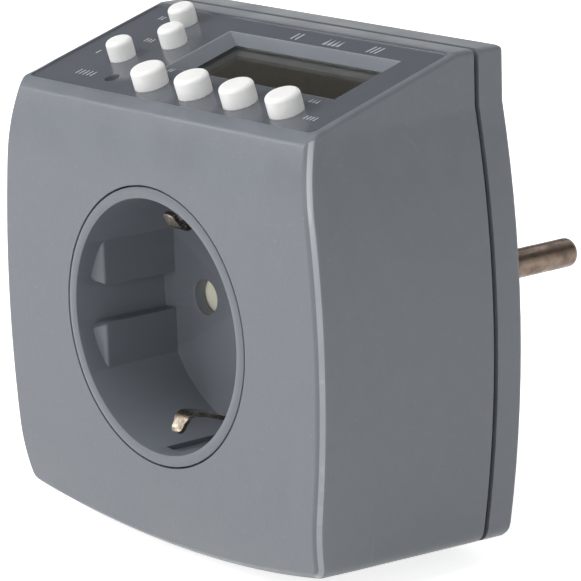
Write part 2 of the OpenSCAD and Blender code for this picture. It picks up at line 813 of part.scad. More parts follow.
// Strip of the plug's earth contacts, clamped behind the bracket of the socket's
module plug_earth_strip() {
  back_y = bracket_y + earth_t + 0.05;
  placed() color("silver") {
    bar([-earth_w / 2, back_y, -strip_z - earth_t],
        [earth_w / 2, back_y + earth_t, strip_z + earth_t]);
    for (up = [0, 1])
      mirror([0, 0, up])
        bar([-earth_w / 2, back_y, strip_z],
            [earth_w / 2, body_depth + strip_l, strip_z + earth_t]);
  }
}

rivet_r = 1.5;
rivet_head_r = 2.7;
rivet_head_t = 0.5;
busbar_t = 0.8;
busbar_y = body_depth - wall - busbar_t - 0.05;
busbar_x = well_r + 7;
busbar_z = 3;

module plug_pin(side) {
  pin_start = busbar_y + busbar_t + 0.05;
  tip = boss_end + pin_l;
  arc_steps = 5;
  placed() color("rosybrown") {
    along_depth(pin_start, side * pin_x) rotate_extrude($fn = 64) polygon(concat(
      [[0, 0], [pin_shank_r, 0], [pin_shank_r, boss_end - pin_start], [pin_r, boss_end - pin_start]],
      [for (k = [0:arc_steps])
        let (a = 90 * k / arc_steps)
        [pin_r - pin_tip_r * (1 - cos(a)), tip - pin_start - pin_tip_r * (1 - sin(a))]],
      [[0, tip - pin_start]]
    ));
    along_depth(busbar_y - rivet_head_t - 0.03, side * pin_x)
      cylinder(r = rivet_head_r, h = rivet_head_t, $fn = 48);
    along_depth(busbar_y - 0.1, side * pin_x)
      cylinder(r = rivet_r, h = busbar_t + 0.2, $fn = 48);
  }
}

module line_pin() { plug_pin(-1); }
module neutral_pin() { plug_pin(1); }

// Strip from a pin's rivet to the power board
module busbar(side) {
  placed() color("goldenrod") {
    difference() {
      union() {
        along_depth(busbar_y, side * pin_x) cylinder(r = rivet_head_r + 0.8, h = busbar_t);
        translate([side * pin_x, busbar_y, 0])
          rotate([0, atan2(-busbar_z, side * (busbar_x - pin_x)), 0])
            translate([0, 0, -tab_w / 2])
              cube([norm([busbar_x - pin_x, busbar_z]), busbar_t, tab_w]);
        along_depth(busbar_y, side * busbar_x, busbar_z)
          cylinder(r = tab_w / 2 + 0.3, h = busbar_t);
      }
      along_depth(busbar_y - 1, side * pin_x) cylinder(r = rivet_r + 0.03, h = 4, $fn = 48);
    }
    bar([side * busbar_x - tab_w / 2, power_board_y + board_t - 0.8, busbar_z - busbar_t / 2],
        [side * busbar_x + tab_w / 2, busbar_y + overlap, busbar_z + busbar_t / 2]);
  }
}

module line_busbar() { busbar(-1); }
module neutral_busbar() { busbar(1); }

// ---- Display and control board ------------------------------------------------------

lens_t = 0.8;
glass_t = 1.4;
holder_wall = 1.0;
glass_side = 1.0;
glass_end = 0.6;
glass_left = window_left - glass_side;
glass_w = window_w + 2 * glass_side;
glass_v = window_v - glass_end;
glass_h = window_h + 2 * glass_end;
contact_ledge = 1.2;
lens_top = window_depth + 0.05;
glass_top = lens_top + lens_t + 0.05;
board_v = 2.4;
board_h = panel_l - 1.6;
board_half_w = half_w - wall - 0.7;

module window_lens() {
  placed() color("dimgray", 0.6)
    on_panel(glass_left, glass_v, -lens_top - lens_t) cube([glass_w, glass_h, lens_t]);
}

module lcd_glass() {
  placed() color("darkolivegreen") {
    on_panel(glass_left, glass_v, -glass_top - glass_t / 2)
      cube([glass_w, glass_h - contact_ledge, glass_t / 2]);
    on_panel(glass_left, glass_v, -glass_top - glass_t)
      cube([glass_w, glass_h, glass_t / 2 + overlap]);
  }
}

// Frame that holds the glass and the rubbers over the board
module lcd_holder() {
  gap = 0.1;
  low = -control_board_drop;
  rise = control_board_drop - lens_top;
  placed() color("gainsboro") difference() {
    on_panel(glass_left - gap - holder_wall, glass_v - gap - holder_wall, low)
      cube([glass_w + 2 * (gap + holder_wall), glass_h + 2 * (gap + holder_wall), rise]);
    on_panel(glass_left - gap, glass_v - gap, -glass_top - glass_t - gap)
      cube([glass_w + 2 * gap, glass_h + 2 * gap, 10]);
    on_panel(glass_left + contact_ledge, glass_v + contact_ledge, low - 1)
      cube([glass_w - 2 * contact_ledge, glass_h - 2 * contact_ledge, 10]);
  }
}

// Two rubber strips that carry the signals from the board to the glass
module contact_rubbers() {
  w = 1.6;
  gap = 0.1;
  h = control_board_drop - glass_top - glass_t - 2 * gap;
  placed() color("hotpink")
    for (v = [glass_v + contact_ledge + gap, glass_v + glass_h - contact_ledge - gap - w])
      on_panel(glass_left + 2, v, -control_board_drop + gap) cube([glass_w - 4, w, h]);
}

module control_board() {
  placed() color("darkgreen") difference() {
    on_panel(-board_half_w, board_v, -control_board_drop - board_t)
      cube([2 * board_half_w, board_h, board_t]);
    for (p = pillar_places)
      on_panel(p[0], p[1], -control_board_drop - board_t - 1)
        cylinder(r = board_screw_r + 0.1, h = board_t + 2, $fn = 24);
  }
}

// Rubber sheet with a dome under each button
module keypad_mat() {
  switch_gap = reset_switch_size + 0.4;
  left = outer_column_x - 5.2;
  right = large_key_x(3) + 4.6;
  inner_right = glass_left - holder_wall - 0.5;
  low_v = board_v + 0.3;
  step_v = glass_v - holder_wall - 0.4;
  placed() color("lightgray") difference() {
    union() {
      on_panel(left, low_v, -control_board_drop)
        cube([inner_right - left, board_h - 3, control_board_drop - mat_top]);
      on_panel(left, low_v, -control_board_drop)
        cube([right - left, step_v - low_v, control_board_drop - mat_top]);
      for (p = key_places)
        on_panel(p[0], p[1], -mat_top - overlap) rotate_extrude() polygon([
          [0, 0], [p[2] + 0.4, 0], [p[2] - 0.4, mat_top - dome_top], [0, mat_top - dome_top]
        ]);
    }
    on_panel(reset_x - switch_gap / 2, reset_v - switch_gap / 2, -control_board_drop - 1)
      cube([switch_gap, switch_gap, 4]);
  }
}

chip_size = 10;
chip_t = 1.5;
chip_v = window_v + 0.4;
chip_lead = [1.2, 0.5];
chip_lead_pitch = 1.5;

module clock_chip() {
  placed() color("black")
    on_panel(0, chip_v, -control_board_drop - board_t - chip_t) {
      cube([chip_size, chip_size, chip_t]);
      for (edge = [-chip_lead[0], chip_size])
        for (k = [0:5])
          translate([edge, 1 + chip_lead_pitch * k, 0]) cube([chip_lead[0], chip_lead[1], chip_t]);
    }
}

module backup_battery() {
  edge = 0.4;
  x = post_top_x - post_r - battery_r - 0.5;
  v = window_v + 4.4;
  placed() color("silver")
    on_panel(x, v, -control_board_drop - board_t - battery_t) rotate_extrude($fn = 64) polygon([
      [0, 0], [battery_r - edge, 0], [battery_r, edge], [battery_r, battery_t - edge],
      [battery_r - edge, battery_t], [0, battery_t]
    ]);
}

ribbon_w = 6;
ribbon_reach = 3.6;
plug_z = 4;
plug_h = 5.5;

// Flat cable from under the control board down to its connector on the power board
module ribbon_cable() {
  w = ribbon_w;
  t = 0.9;
  x = -post_top_x + post_r + 0.4;
  board_y = power_board_y - ribbon_reach;
  board_under = (control_board_drop + board_t) / cos(panel_slope);
  top_z = roof_z(board_y) - board_under - 0.1;
  drop = top_z - plug_z - plug_h;
  path = [
    [board_y, top_z], [board_y + 0.2, top_z - 0.3 * drop], [board_y + 1.2, top_z - 0.5 * drop],
    [board_y + 2, plug_z + plug_h + 0.35 * drop], [board_y + 2.4, plug_z + plug_h - 0.5]
  ];
  last = len(path) - 1;
  placed() color("lightgray") {
    rotate([90, 0, 90]) translate([0, 0, x]) linear_extrude(w)
      polygon(concat(path, [for (i = [last:-1:0]) path[i] + [t, 0]]));
    bar([x, board_y + 0.4, plug_z], [x + w, power_board_y - 0.02, plug_z + plug_h]);
  }
}

module board_screws() {
  placed() color("silver") {
    for (p = pillar_places)
      on_panel(p[0], p[1], -control_board_drop - board_t - board_screw_head_t - 0.05) {
        cylinder(r = board_screw_head_r, h = board_screw_head_t, $fn = 32);
        cylinder(r = board_screw_r, h = board_screw_head_t + board_t + board_screw_l - 0.6,
                 $fn = 24);
      }
    for (p = power_post_places) {
      along_depth(power_board_y + board_t + 0.05, p[0], p[1])
        cylinder(r = board_screw_head_r, h = board_screw_head_t, $fn = 32);
      along_depth(power_board_y - board_screw_l + 0.6, p[0], p[1])
        cylinder(r = board_screw_r, h = board_t + board_screw_l, $fn = 24);
    }
  }
}

// ---- Power board --------------------------------------------------------------------

relay_x = well_r + well_wall + 0.7;
relay_low_z = -shoulder_h + 8.55;
relay_front = power_board_y - relay_size[1];

module power_board() {
  edge = wall + 0.5;
  low_z = -shoulder_h + 2.4;
  top_z = 12;
  flank = [
    for (z = [low_z + 1.5, 0.7 * low_z, 0.4 * low_z, 0, top_z]) [side_x(z) - edge, z]
  ];
  outline = concat(
    [[-flank[0][0] + 3, low_z], [flank[0][0] - 3, low_z]],
    flank,
    [for (i = [len(flank) - 1:-1:0]) [-flank[i][0], flank[i][1]]]
  );
  tab_gap = 0.2;
  placed() color("tan") difference() {
    translate([0, power_board_y + board_t, 0]) rotate([90, 0, 0]) linear_extrude(board_t)
      polygon(outline);
    along_depth(power_board_y - 1) cylinder(r = carrier_r + 0.6, h = board_t + 2, $fn = 96);
    bar([-carrier_r, power_board_y - 1, 0], [carrier_r, power_board_y + 3, shoulder_h]);
    for (p = housing_screw_places)
      along_depth(power_board_y - 1, p[0], p[1]) cylinder(r = post_r + 0.3, h = board_t + 2);
    for (p = power_post_places)
      along_depth(power_board_y - 1, p[0], p[1])
        cylinder(r = board_screw_r + 0.1, h = board_t + 2, $fn = 24);
    for (side = [-1, 1]) {
      bar([side * tail_x - tab_w / 2 - tab_gap, power_board_y - 1, tail_z - tail_t / 2 - tab_gap],
          [side * tail_x + tab_w / 2 + tab_gap, power_board_y + 3, tail_z + tail_t / 2 + tab_gap]);
      bar([side * busbar_x - tab_w / 2 - tab_gap, power_board_y - 1,
           busbar_z - busbar_t / 2 - tab_gap],
          [side * busbar_x + tab_w / 2 + tab_gap, power_board_y + 3,
           busbar_z + busbar_t / 2 + tab_gap]);
    }
  }
}

relay_wall = 0.8;
relay_base_t = 2.0;

module relay_base() {
  s = relay_size;
  placed() color("darkslategray")
    bar([relay_x, power_board_y - relay_base_t, relay_low_z],
        [relay_x + s[0], power_board_y - 0.05, relay_low_z + s[2]]);
}

module relay_cover() {
  s = relay_size;
  back = power_board_y - relay_base_t - 0.05;
  placed() color("royalblue") difference() {
    bar([relay_x, relay_front, relay_low_z], [relay_x + s[0], back, relay_low_z + s[2]]);
    bar([relay_x + relay_wall, relay_front + relay_wall, relay_low_z + relay_wall],
        [relay_x + s[0] - relay_wall, back + 1, relay_low_z + s[2] - relay_wall]);
  }
}

coil_x = relay_x + relay_size[0] / 2;
coil_y = relay_front + 6.6;
coil_low = relay_low_z + 3.2;
coil_l = 15;
coil_r = 4.3;
cheek_half_w = 4.6;
cheek_t = 1;
core_r = 1.6;

// Bobbin with its winding, one closed form round the core
module relay_coil() {
  placed() color("firebrick") difference() {
    union() {
      translate([coil_x, coil_y, coil_low]) cylinder(r = coil_r, h = coil_l);
      for (z = [coil_low, coil_low + coil_l - cheek_t])
        bar([coil_x - cheek_half_w, coil_y - cheek_half_w, z],
            [coil_x + cheek_half_w, coil_y + cheek_half_w, z + cheek_t]);
    }
    translate([coil_x, coil_y, coil_low - 1])
      cylinder(r = core_r + 0.05, h = coil_l + 2, $fn = 32);
  }
}

yoke_t = 1.2;
yoke_half_w = 4;
yoke_y = coil_y + cheek_half_w + 0.15;
bead_r = yoke_t / 2 + 0.1;
hinge_y = yoke_y + yoke_t / 2;
hinge_z = coil_low + coil_l + 0.3;

// Iron core and the L shaped yoke that closes the magnetic circuit, with a bead at its end
module relay_yoke() {
  placed() color("lightsteelblue") {
    translate([coil_x, coil_y, coil_low - yoke_t + overlap])
      cylinder(r = core_r, h = coil_l + yoke_t + 0.6, $fn = 32);
    bar([coil_x - yoke_half_w, coil_y - 3, coil_low - yoke_t - 0.05],
        [coil_x + yoke_half_w, yoke_y + yoke_t, coil_low - 0.05]);
    bar([coil_x - yoke_half_w, yoke_y, coil_low - yoke_t],
        [coil_x + yoke_half_w, yoke_y + yoke_t, hinge_z]);
    translate([coil_x - yoke_half_w, hinge_y, hinge_z]) rotate([0, 90, 0])
      cylinder(r = bead_r, h = 2 * yoke_half_w, $fn = 48);
  }
}

armature_swing = 2.2;
flap_reach = 5.2;

// Iron flap that the coil pulls in. It rocks on the bead of the yoke
module relay_armature() {
  flap_l = yoke_y - coil_y + flap_reach;
  flap_w = 7.2;
  flap_t = 1;
  under = bead_r + 0.05;
  placed() color("lightsteelblue")
    translate([coil_x, hinge_y, hinge_z]) rotate([-armature_swing, 0, 0]) {
      bar([-flap_w / 2, -flap_l, under], [flap_w / 2, yoke_t / 2, under + flap_t]);
      bar([-1.6, -flap_l - 0.4, under], [1.6, -flap_l + 0.4, under + 2.4]);
    }
}

module dropper_capacitor() {
  w = 9.5;
  h = 15;
  l = 24;
  x = -relay_x - w;
  placed() color("gold") along_depth(power_board_y - 0.05 - h, x, relay_low_z + 1 + l)
    rounded_plate([w, l], 1.2, h);
}

smoothing_r = 4;
smoothing_l = 12;
low_row_z = -(well_r + well_wall + shoulder_h) / 2 - 0.4;

module smoothing_capacitor() {
  r = smoothing_r;
  l = smoothing_l;
  edge = 0.4;
  placed() color("midnightblue")
    along_depth(power_board_y - 0.05 - l, 0, low_row_z) rotate_extrude($fn = 48) polygon([
      [0, 0], [r - edge, 0], [r, edge], [r, l - 1.8], [r - edge, l - 1.5], [r, l - 1.1],
      [r, l], [0, l]
    ]);
}

varistor_r = 4;
varistor_t = 3.4;
varistor_x = -smoothing_r - 5.5;

module surge_varistor() {
  lead_gap = 1.25;
  placed() color("royalblue") {
    translate([varistor_x, power_board_y - varistor_r - 2, low_row_z]) rotate([0, 90, 0])
      cylinder(r = varistor_r, h = varistor_t, center = true, $fn = 48);
    for (z = [-lead_gap, lead_gap])
      along_depth(power_board_y - varistor_r, varistor_x, low_row_z + z)
        cylinder(r = 0.4, h = varistor_r - 0.05, $fn = 16);
  }
}

front_housing();
rear_cover();
socket_well();
contact_carrier();
safety_shutter();
shutter_spring();
socket_earth_bracket();
plug_earth_strip();
line_socket_contact();
neutral_socket_contact();
line_pin();
neutral_pin();
line_busbar();
neutral_busbar();
window_lens();
lcd_glass();
lcd_holder();
contact_rubbers();
control_board();
keypad_mat();
clock_button();
day_button();
hour_button();
minute_button();
mode_button();
program_button();
random_button();
reset_button();
reset_switch();
clock_chip();
backup_battery();
ribbon_cable();
power_board();
relay_base();
relay_cover();
relay_coil();
relay_yoke();
relay_armature();
dropper_capacitor();
smoothing_capacitor();
surge_varistor();
housing_screws();
board_screws();
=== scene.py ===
import json
import math

import bmesh
import bpy
from mathutils import Matrix, Vector


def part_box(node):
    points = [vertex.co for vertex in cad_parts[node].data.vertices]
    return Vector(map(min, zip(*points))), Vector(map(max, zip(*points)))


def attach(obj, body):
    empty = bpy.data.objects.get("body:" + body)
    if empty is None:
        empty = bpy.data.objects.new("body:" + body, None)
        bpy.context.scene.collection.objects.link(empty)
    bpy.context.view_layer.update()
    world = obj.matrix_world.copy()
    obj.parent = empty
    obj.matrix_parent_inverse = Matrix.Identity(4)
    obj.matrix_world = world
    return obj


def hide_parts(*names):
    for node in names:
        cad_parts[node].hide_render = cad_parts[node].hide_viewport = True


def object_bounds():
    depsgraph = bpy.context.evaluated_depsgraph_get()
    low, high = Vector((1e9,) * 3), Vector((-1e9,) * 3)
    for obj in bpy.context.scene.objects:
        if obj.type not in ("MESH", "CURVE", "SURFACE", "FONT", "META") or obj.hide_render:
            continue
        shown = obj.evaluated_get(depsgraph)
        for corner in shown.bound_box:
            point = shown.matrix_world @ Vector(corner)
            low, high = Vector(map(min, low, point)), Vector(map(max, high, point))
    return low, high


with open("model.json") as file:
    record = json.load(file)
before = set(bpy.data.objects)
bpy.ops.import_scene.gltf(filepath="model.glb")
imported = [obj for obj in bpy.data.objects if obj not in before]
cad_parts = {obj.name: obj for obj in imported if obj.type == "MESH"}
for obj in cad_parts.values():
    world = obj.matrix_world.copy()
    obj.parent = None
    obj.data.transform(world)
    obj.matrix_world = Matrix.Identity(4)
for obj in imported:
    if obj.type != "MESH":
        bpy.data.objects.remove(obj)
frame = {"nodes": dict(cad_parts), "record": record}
cad_low, cad_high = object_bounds()
NODES = frame["nodes"]
SCENE = bpy.context.scene

# ---- Sizes, in millimetres. Depths run back from the front face ------
MM = 0.001
FRONT_DEPTH = 34.3
BODY_DEPTH = 40.35
BOSS_END = 59.85
HALF_W = 36.1
SHOULDER = 34.15
SIDE_BOW = 3.35
BASE_BOW = 3.75
BASE_DRAFT = 1.6
TOP = 42.7
PANEL_DEPTH = 28.7
WALL = 2.0
FACE_FLAT = 21.9
FACE_CURVE_R = 36.0
# Depths of the front bevel's rings, which read backwards are their insets, and the part of it that gets a painted
# highlight
BEVEL_STEPS = (0.0, 0.015, 0.06, 0.15, 0.42, 0.75, 1.02, 1.17, 1.32, 1.46)
RIM_STEPS = (4, 6)
RIM_X, RIM_TOP = 34.0, 33.5
BASE_CORNER_R = 2.2
ROOF_EDGE_R = 1.0
TONGUE_L = 1.8
TONGUE_INSET = 1.25
SLOPE = math.atan((TOP - SHOULDER) / PANEL_DEPTH)


def face_back(z):
    """How far the front face has curved back at height z."""
    past = max(0.0, abs(z) - FACE_FLAT)
    return FACE_CURVE_R - math.sqrt(FACE_CURVE_R**2 - past * past)


PANEL_Y = face_back(SHOULDER)
PANEL_L = PANEL_DEPTH / math.cos(SLOPE)
WELL_HOLE_R = 22.05
STEP = 0.3
WINDOW = {"x": 8.1, "v": 11.6, "w": 40.8, "h": 13.7, "depth": 2.4, "lean_x": 1.5, "lean_v": 0.65}
LARGE_R, SMALL_R, KEY_H, KEY_GAP = 2.75, 2.15, 2.8, 0.08
KEYS = {
    "clock_button": (-8.85, 6.1, LARGE_R),
    "day_button": (2.0, 6.1, LARGE_R),
    "hour_button": (12.85, 6.1, LARGE_R),
    "minute_button": (23.7, 6.1, LARGE_R),
    "mode_button": (-23.8, 12.2, SMALL_R),
    "program_button": (-18.5, 18.75, SMALL_R),
    "random_button": (-23.8, 25.3, SMALL_R),
}
RESET_X, RESET_V, RESET_R, RESET_DEPTH = -18.5, 5.7, 1.2, 1.1
KEY_STEM_END = 4.3
KEY_UNDER = WALL + 0.2


def at(x, y, z):
    """Point in the row frame, in metres, from millimetres measured from the front face."""
    return Vector((x * MM, (y - BOSS_END) * MM, z * MM))


# Matrices that put millimetre shapes in place: one on the sloped panel, one along the depth
TO_ROW = Matrix.Translation(at(0, 0, 0)) @ Matrix.Scale(MM, 4)
ON_PANEL = TO_ROW @ Matrix.Translation((0, PANEL_Y, SHOULDER)) @ Matrix.Rotation(SLOPE, 4, "X")


def on_panel(x, v, out=0.0):
    return ON_PANEL @ Matrix.Translation((x, v, out))


def along_depth(x, y, z):
    """Turns an upright shape so that it runs back from the front face."""
    return TO_ROW @ Matrix.Translation((x, y, z)) @ Matrix.Rotation(-math.pi / 2, 4, "X")


# ---- Node helpers ---------------------------------------------------
def add(tree, kind, feeds=None, **settings):
    """Adds a node. Feeds are sockets to link or plain values, by the name or number of the input."""
    made = tree.nodes.new(kind)
    for name, value in settings.items():
        setattr(made, name, value)
    for name, value in (feeds or {}).items():
        if isinstance(value, bpy.types.NodeSocket):
            tree.links.new(value, made.inputs[name])
        else:
            made.inputs[name].default_value = value
    return made


def calc(tree, operation, *feeds):
    return add(tree, "ShaderNodeMath", dict(enumerate(feeds)), operation=operation).outputs[0]


def spread_map(tree, value, low, high, to_low=0.0, to_high=1.0):
    """Maps a value from one range to another and stays inside it."""
    feeds = {"Value": value, "From Min": low, "From Max": high, "To Min": to_low, "To Max": to_high}
    return add(tree, "ShaderNodeMapRange", feeds, interpolation_type="SMOOTHSTEP").outputs["Result"]


def product(tree, *feeds):
    value = feeds[0]
    for factor in feeds[1:]:
        value = calc(tree, "MULTIPLY", value, factor)
    return value


def tinted(tree, color, factor):
    """The colour made lighter or darker by a factor."""
    return add(tree, "ShaderNodeVectorMath", {0: color, "Scale": factor}, operation="SCALE").outputs["Vector"]


def object_place(tree):
    return add(tree, "ShaderNodeTexCoord").outputs["Object"]


def feed(tree, inputs, **values):
    """Links values to inputs by their names. Underscores in the keys stand for spaces."""
    for key, value in values.items():
        tree.links.new(value, inputs[key.replace("_", " ")])


def open_group(name, inputs, outputs):
    """Starts a shader node group with named inputs and outputs."""
    tree = bpy.data.node_groups.new(name, "ShaderNodeTree")
    for label, kind, value in inputs:
        tree.interface.new_socket(label, in_out="INPUT", socket_type=kind).default_value = value
    for label, kind in outputs:
        tree.interface.new_socket(label, in_out="OUTPUT", socket_type=kind)
    return tree, tree.nodes.new("NodeGroupInput").outputs, tree.nodes.new("NodeGroupOutput").inputs


def noise(tree, scale, detail=2.0, roughness=0.5, vector=None):
    place = object_place(tree) if vector is None else vector
    feeds = {"Vector": place, "Scale": scale, "Detail": detail, "Roughness": roughness}
    return add(tree, "ShaderNodeTexNoise", feeds).outputs["Fac"]


FLOAT, COLOR, VECTOR = "NodeSocketFloat", "NodeSocketColor", "NodeSocketVector"


def make_spark_grain():
    """Texture of a spark eroded mould: fine pits, and a mask of the odd pit that catches the light, used for a
    painted glint.
    """
    tree, take, give = open_group("spark grain", [("Grain per metre", FLOAT, 3000.0), ("Fleck share", FLOAT, 0.1)],
                                  [("Height", FLOAT), ("Fleck", FLOAT)])
    fine = noise(tree, take["Grain per metre"], 1.5, 0.6)
    coarse = noise(tree, product(tree, take["Grain per metre"], 0.37), 1.0)
    both = calc(tree, "ADD", product(tree, fine, 0.6), product(tree, coarse, 0.4))
    level = calc(tree, "SUBTRACT", 0.72, product(tree, take["Fleck share"], 0.5))
    feed(tree, give, Height=both, Fleck=spread_map(tree, both, level, calc(tree, "ADD", level, 0.06)))
    return tree


def make_mottle():
    """Slow colour drift of moulded plastic, lighter and darker than the given colour."""
    tree, take, give = open_group(
        "mottle",
        [("Color", COLOR, (0.5, 0.5, 0.5, 1)), ("Drift", FLOAT, 0.1), ("Patches per metre", FLOAT, 120.0)],
        [("Color", COLOR), ("Mask", FLOAT)],
    )
    mask = spread_map(tree, noise(tree, take["Patches per metre"], 3.0, 0.55), 0.3, 0.7)
    lift = product(tree, calc(tree, "SUBTRACT", mask, 0.5), take["Drift"])
    feed(tree, give, Color=tinted(tree, take["Color"], calc(tree, "ADD", 1.0, lift)), Mask=mask)
    return tree


def make_dust():
    """Thin film of handling dust that breaks up gloss, heavier on faces that look up."""
    tree, take, give = open_group("dust film", [("Amount", FLOAT, 0.2), ("Patches per metre", FLOAT, 260.0)],
                                  [("Mask", FLOAT)])
    patches = spread_map(tree, noise(tree, take["Patches per metre"], 5.0, 0.65), 0.42, 0.75)
    normal = add(tree, "ShaderNodeNewGeometry").outputs["Normal"]
    up = add(tree, "ShaderNodeSeparateXYZ", {0: normal}).outputs["Z"]
    share = spread_map(tree, up, -0.4, 1.0, 0.35, 1.0)
    feed(tree, give, Mask=product(tree, patches, share, take["Amount"]))
    return tree


def make_worn_and_highlit_edges():
    """Mask that rises along sharp edges, where handling has polished them, and where they get a painted highlight.
    """
    tree, take, give = open_group("worn edges", [("Width", FLOAT, 0.0004), ("Amount", FLOAT, 0.5)],
                                  [("Mask", FLOAT)])
    bent = add(tree, "ShaderNodeBevel", {"Radius": take["Width"]}, samples=4).outputs["Normal"]
    flat = add(tree, "ShaderNodeNewGeometry").outputs["Normal"]
    dot = add(tree, "ShaderNodeVectorMath", {0: bent, 1: flat}, operation="DOT_PRODUCT").outputs["Value"]
    edge = spread_map(tree, dot, 0.98, 0.8)
    broken = spread_map(tree, noise(tree, 900.0, 3.0), 0.35, 0.65, 0.4, 1.0)
    feed(tree, give, Mask=product(tree, edge, broken, take["Amount"]))
    return tree


def stretched(tree, stretch):
    feeds = {0: object_place(tree), 1: stretch}
    return add(tree, "ShaderNodeVectorMath", feeds, operation="MULTIPLY").outputs["Vector"]


def make_drawn_lines():
    """Fine lines that drawing or rolling leaves in metal, along the given stretch."""
    tree, take, give = open_group(
        "drawn lines",
        [("Stretch", VECTOR, (1.0, 1.0, 1.0)), ("Lines per metre", FLOAT, 4000.0)],
        [("Height", FLOAT), ("Mask", FLOAT)],
    )
    lines = noise(tree, take["Lines per metre"], 3.0, 0.6, stretched(tree, take["Stretch"]))
    feed(tree, give, Height=lines, Mask=spread_map(tree, noise(tree, 350.0, 4.0, 0.6), 0.35, 0.7))
    return tree


def make_hair_scratches():
    """Mask of a few hair thin scratches in patches, as handling leaves them."""
    tree, take, give = open_group(
        "hair scratches",
        [("Amount", FLOAT, 0.3), ("Lines per metre", FLOAT, 45.0), ("Stretch", VECTOR, (1.0, 1.0, 0.3))],
        [("Mask", FLOAT)],
    )
    level = noise(tree, take["Lines per metre"], 0.0, 0.5, stretched(tree, take["Stretch"]))
    line = spread_map(tree, calc(tree, "ABSOLUTE", calc(tree, "SUBTRACT", level, 0.5)), 0.0035, 0.001)
    patch = spread_map(tree, noise(tree, 75.0, 3.0), 0.52, 0.6)
    feed(tree, give, Mask=product(tree, line, patch, take["Amount"]))
    return tree


GRAIN, MOTTLE, DUST = make_spark_grain(), make_mottle(), make_dust()
WORN_AND_HIGHLIT, DRAWN, SCRATCHED = make_worn_and_highlit_edges(), make_drawn_lines(), make_hair_scratches()


def use(tree, group, **feeds):
    """Places a shared group in a material. Underscores in the keys stand for spaces."""
    named = {key.replace("_", " "): value for key, value in feeds.items()}
    return add(tree, "ShaderNodeGroup", named, node_tree=group)


def blend_colors(tree, factor, first, second):
    feeds = {0: factor, 6: first, 7: second}
    return add(tree, "ShaderNodeMix", feeds, data_type="RGBA", clamp_factor=True).outputs[2]


def rgb(red, green, blue):
    """Colour as read on a screen, 0 to 255, in the linear values that a shader takes."""
    def linear(part):
        part /= 255
        return part / 12.92 if part <= 0.04045 else ((part + 0.055) / 1.055) ** 2.4
    return linear(red), linear(green), linear(blue), 1.0


def start_material(name, **uniform):
    """New material with a Principled shader, whose uniform values are set on its own sockets."""
    made = bpy.data.materials.new(name)
    made.use_nodes = True
    shader = made.node_tree.nodes["Principled BSDF"]
    for key, value in uniform.items():
        shader.inputs[key.replace("_", " ")].default_value = value
    return made, made.node_tree, shader


def bump(tree, height, depth):
    feeds = {"Height": height, "Distance": depth, "Strength": 1.0}
    return add(tree, "ShaderNodeBump", feeds).outputs["Normal"]


DUST_COLOR = (0.45, 0.44, 0.42, 1)
SOLDER_COLOR = (0.62, 0.6, 0.56, 1)
LENS_DUST_COLOR = (0.8, 0.8, 0.78, 1)


def plastic(name, color, rough, grain=3000.0, depth=0.00001, fleck=0.1, fleck_lift=1.25, drift=0.08,
            patches=120.0, dust=0.15, wear_and_highlight=0.3, pale=1.22, gloss_drift=0.06, scratched=0.0, **uniform):
    """Moulded plastic: grain in its surface with lighter flecks that are a painted glint, slow colour drift, dust,
    and polished edges, lighter from wear and from a painted highlight.
    """
    made, tree, shader = start_material(name, **uniform)
    grained = use(tree, GRAIN, Grain_per_metre=grain, Fleck_share=fleck)
    mottled = use(tree, MOTTLE, Color=color, Drift=drift, Patches_per_metre=patches)
    plain = mottled.outputs["Color"]
    # Lighter flecks in the colour: a painted glint of pits that catch the light
    flecked = blend_colors(tree, grained.outputs["Fleck"], plain, tinted(tree, plain, fleck_lift))
    edges = use(tree, WORN_AND_HIGHLIT, Amount=wear_and_highlight).outputs["Mask"]
    marked = edges
    if scratched:
        marked = calc(tree, "MAXIMUM", edges, use(tree, SCRATCHED, Amount=scratched).outputs["Mask"])
    # Edges and scratches made lighter: wear, and along the edges also a painted highlight
    edged = blend_colors(tree, marked, flecked, tinted(tree, flecked, pale))
    film = use(tree, DUST, Amount=dust).outputs["Mask"]
    drifted = spread_map(tree, mottled.outputs["Mask"], 0.0, 1.0, rough - gloss_drift, rough + gloss_drift)
    polished = calc(tree, "SUBTRACT", drifted, product(tree, edges, 0.12))
    feed(tree, shader.inputs, Base_Color=blend_colors(tree, film, edged, DUST_COLOR),
         Roughness=calc(tree, "ADD", polished, product(tree, film, 0.5)),
         Normal=bump(tree, grained.outputs["Height"], depth))
    return made


def metal(name, color, dull, rough, stretch=(1.0, 0.05, 1.0), lines=4000.0, depth=0.000003):
    """Plated or bare metal: drawn lines, dull patches, and brighter edges."""
    made, tree, shader = start_material(name, Metallic=1.0)
    drawn = use(tree, DRAWN, Stretch=stretch, Lines_per_metre=lines)
    patched = blend_colors(tree, drawn.outputs["Mask"], color, dull)
    # Lighter edges on metal: partly wear, partly a painted highlight
    edges = use(tree, WORN_AND_HIGHLIT, Width=0.0002, Amount=0.4).outputs["Mask"]
    bright = tuple(min(1.0, part * 1.3) for part in color[:3]) + (1.0,)
    lined = spread_map(tree, drawn.outputs["Height"], 0.3, 0.7, rough - 0.06, rough + 0.08)
    feed(tree, shader.inputs, Base_Color=blend_colors(tree, edges, patched, bright),
         Roughness=calc(tree, "ADD", lined, product(tree, drawn.outputs["Mask"], 0.12)),
         Normal=bump(tree, drawn.outputs["Height"], depth))
    return made


def filmed(tree, rough, amount):
    """Roughness that rises where dust lies."""
    return calc(tree, "ADD", rough, product(tree, use(tree, DUST, Amount=amount).outputs["Mask"], 0.3))


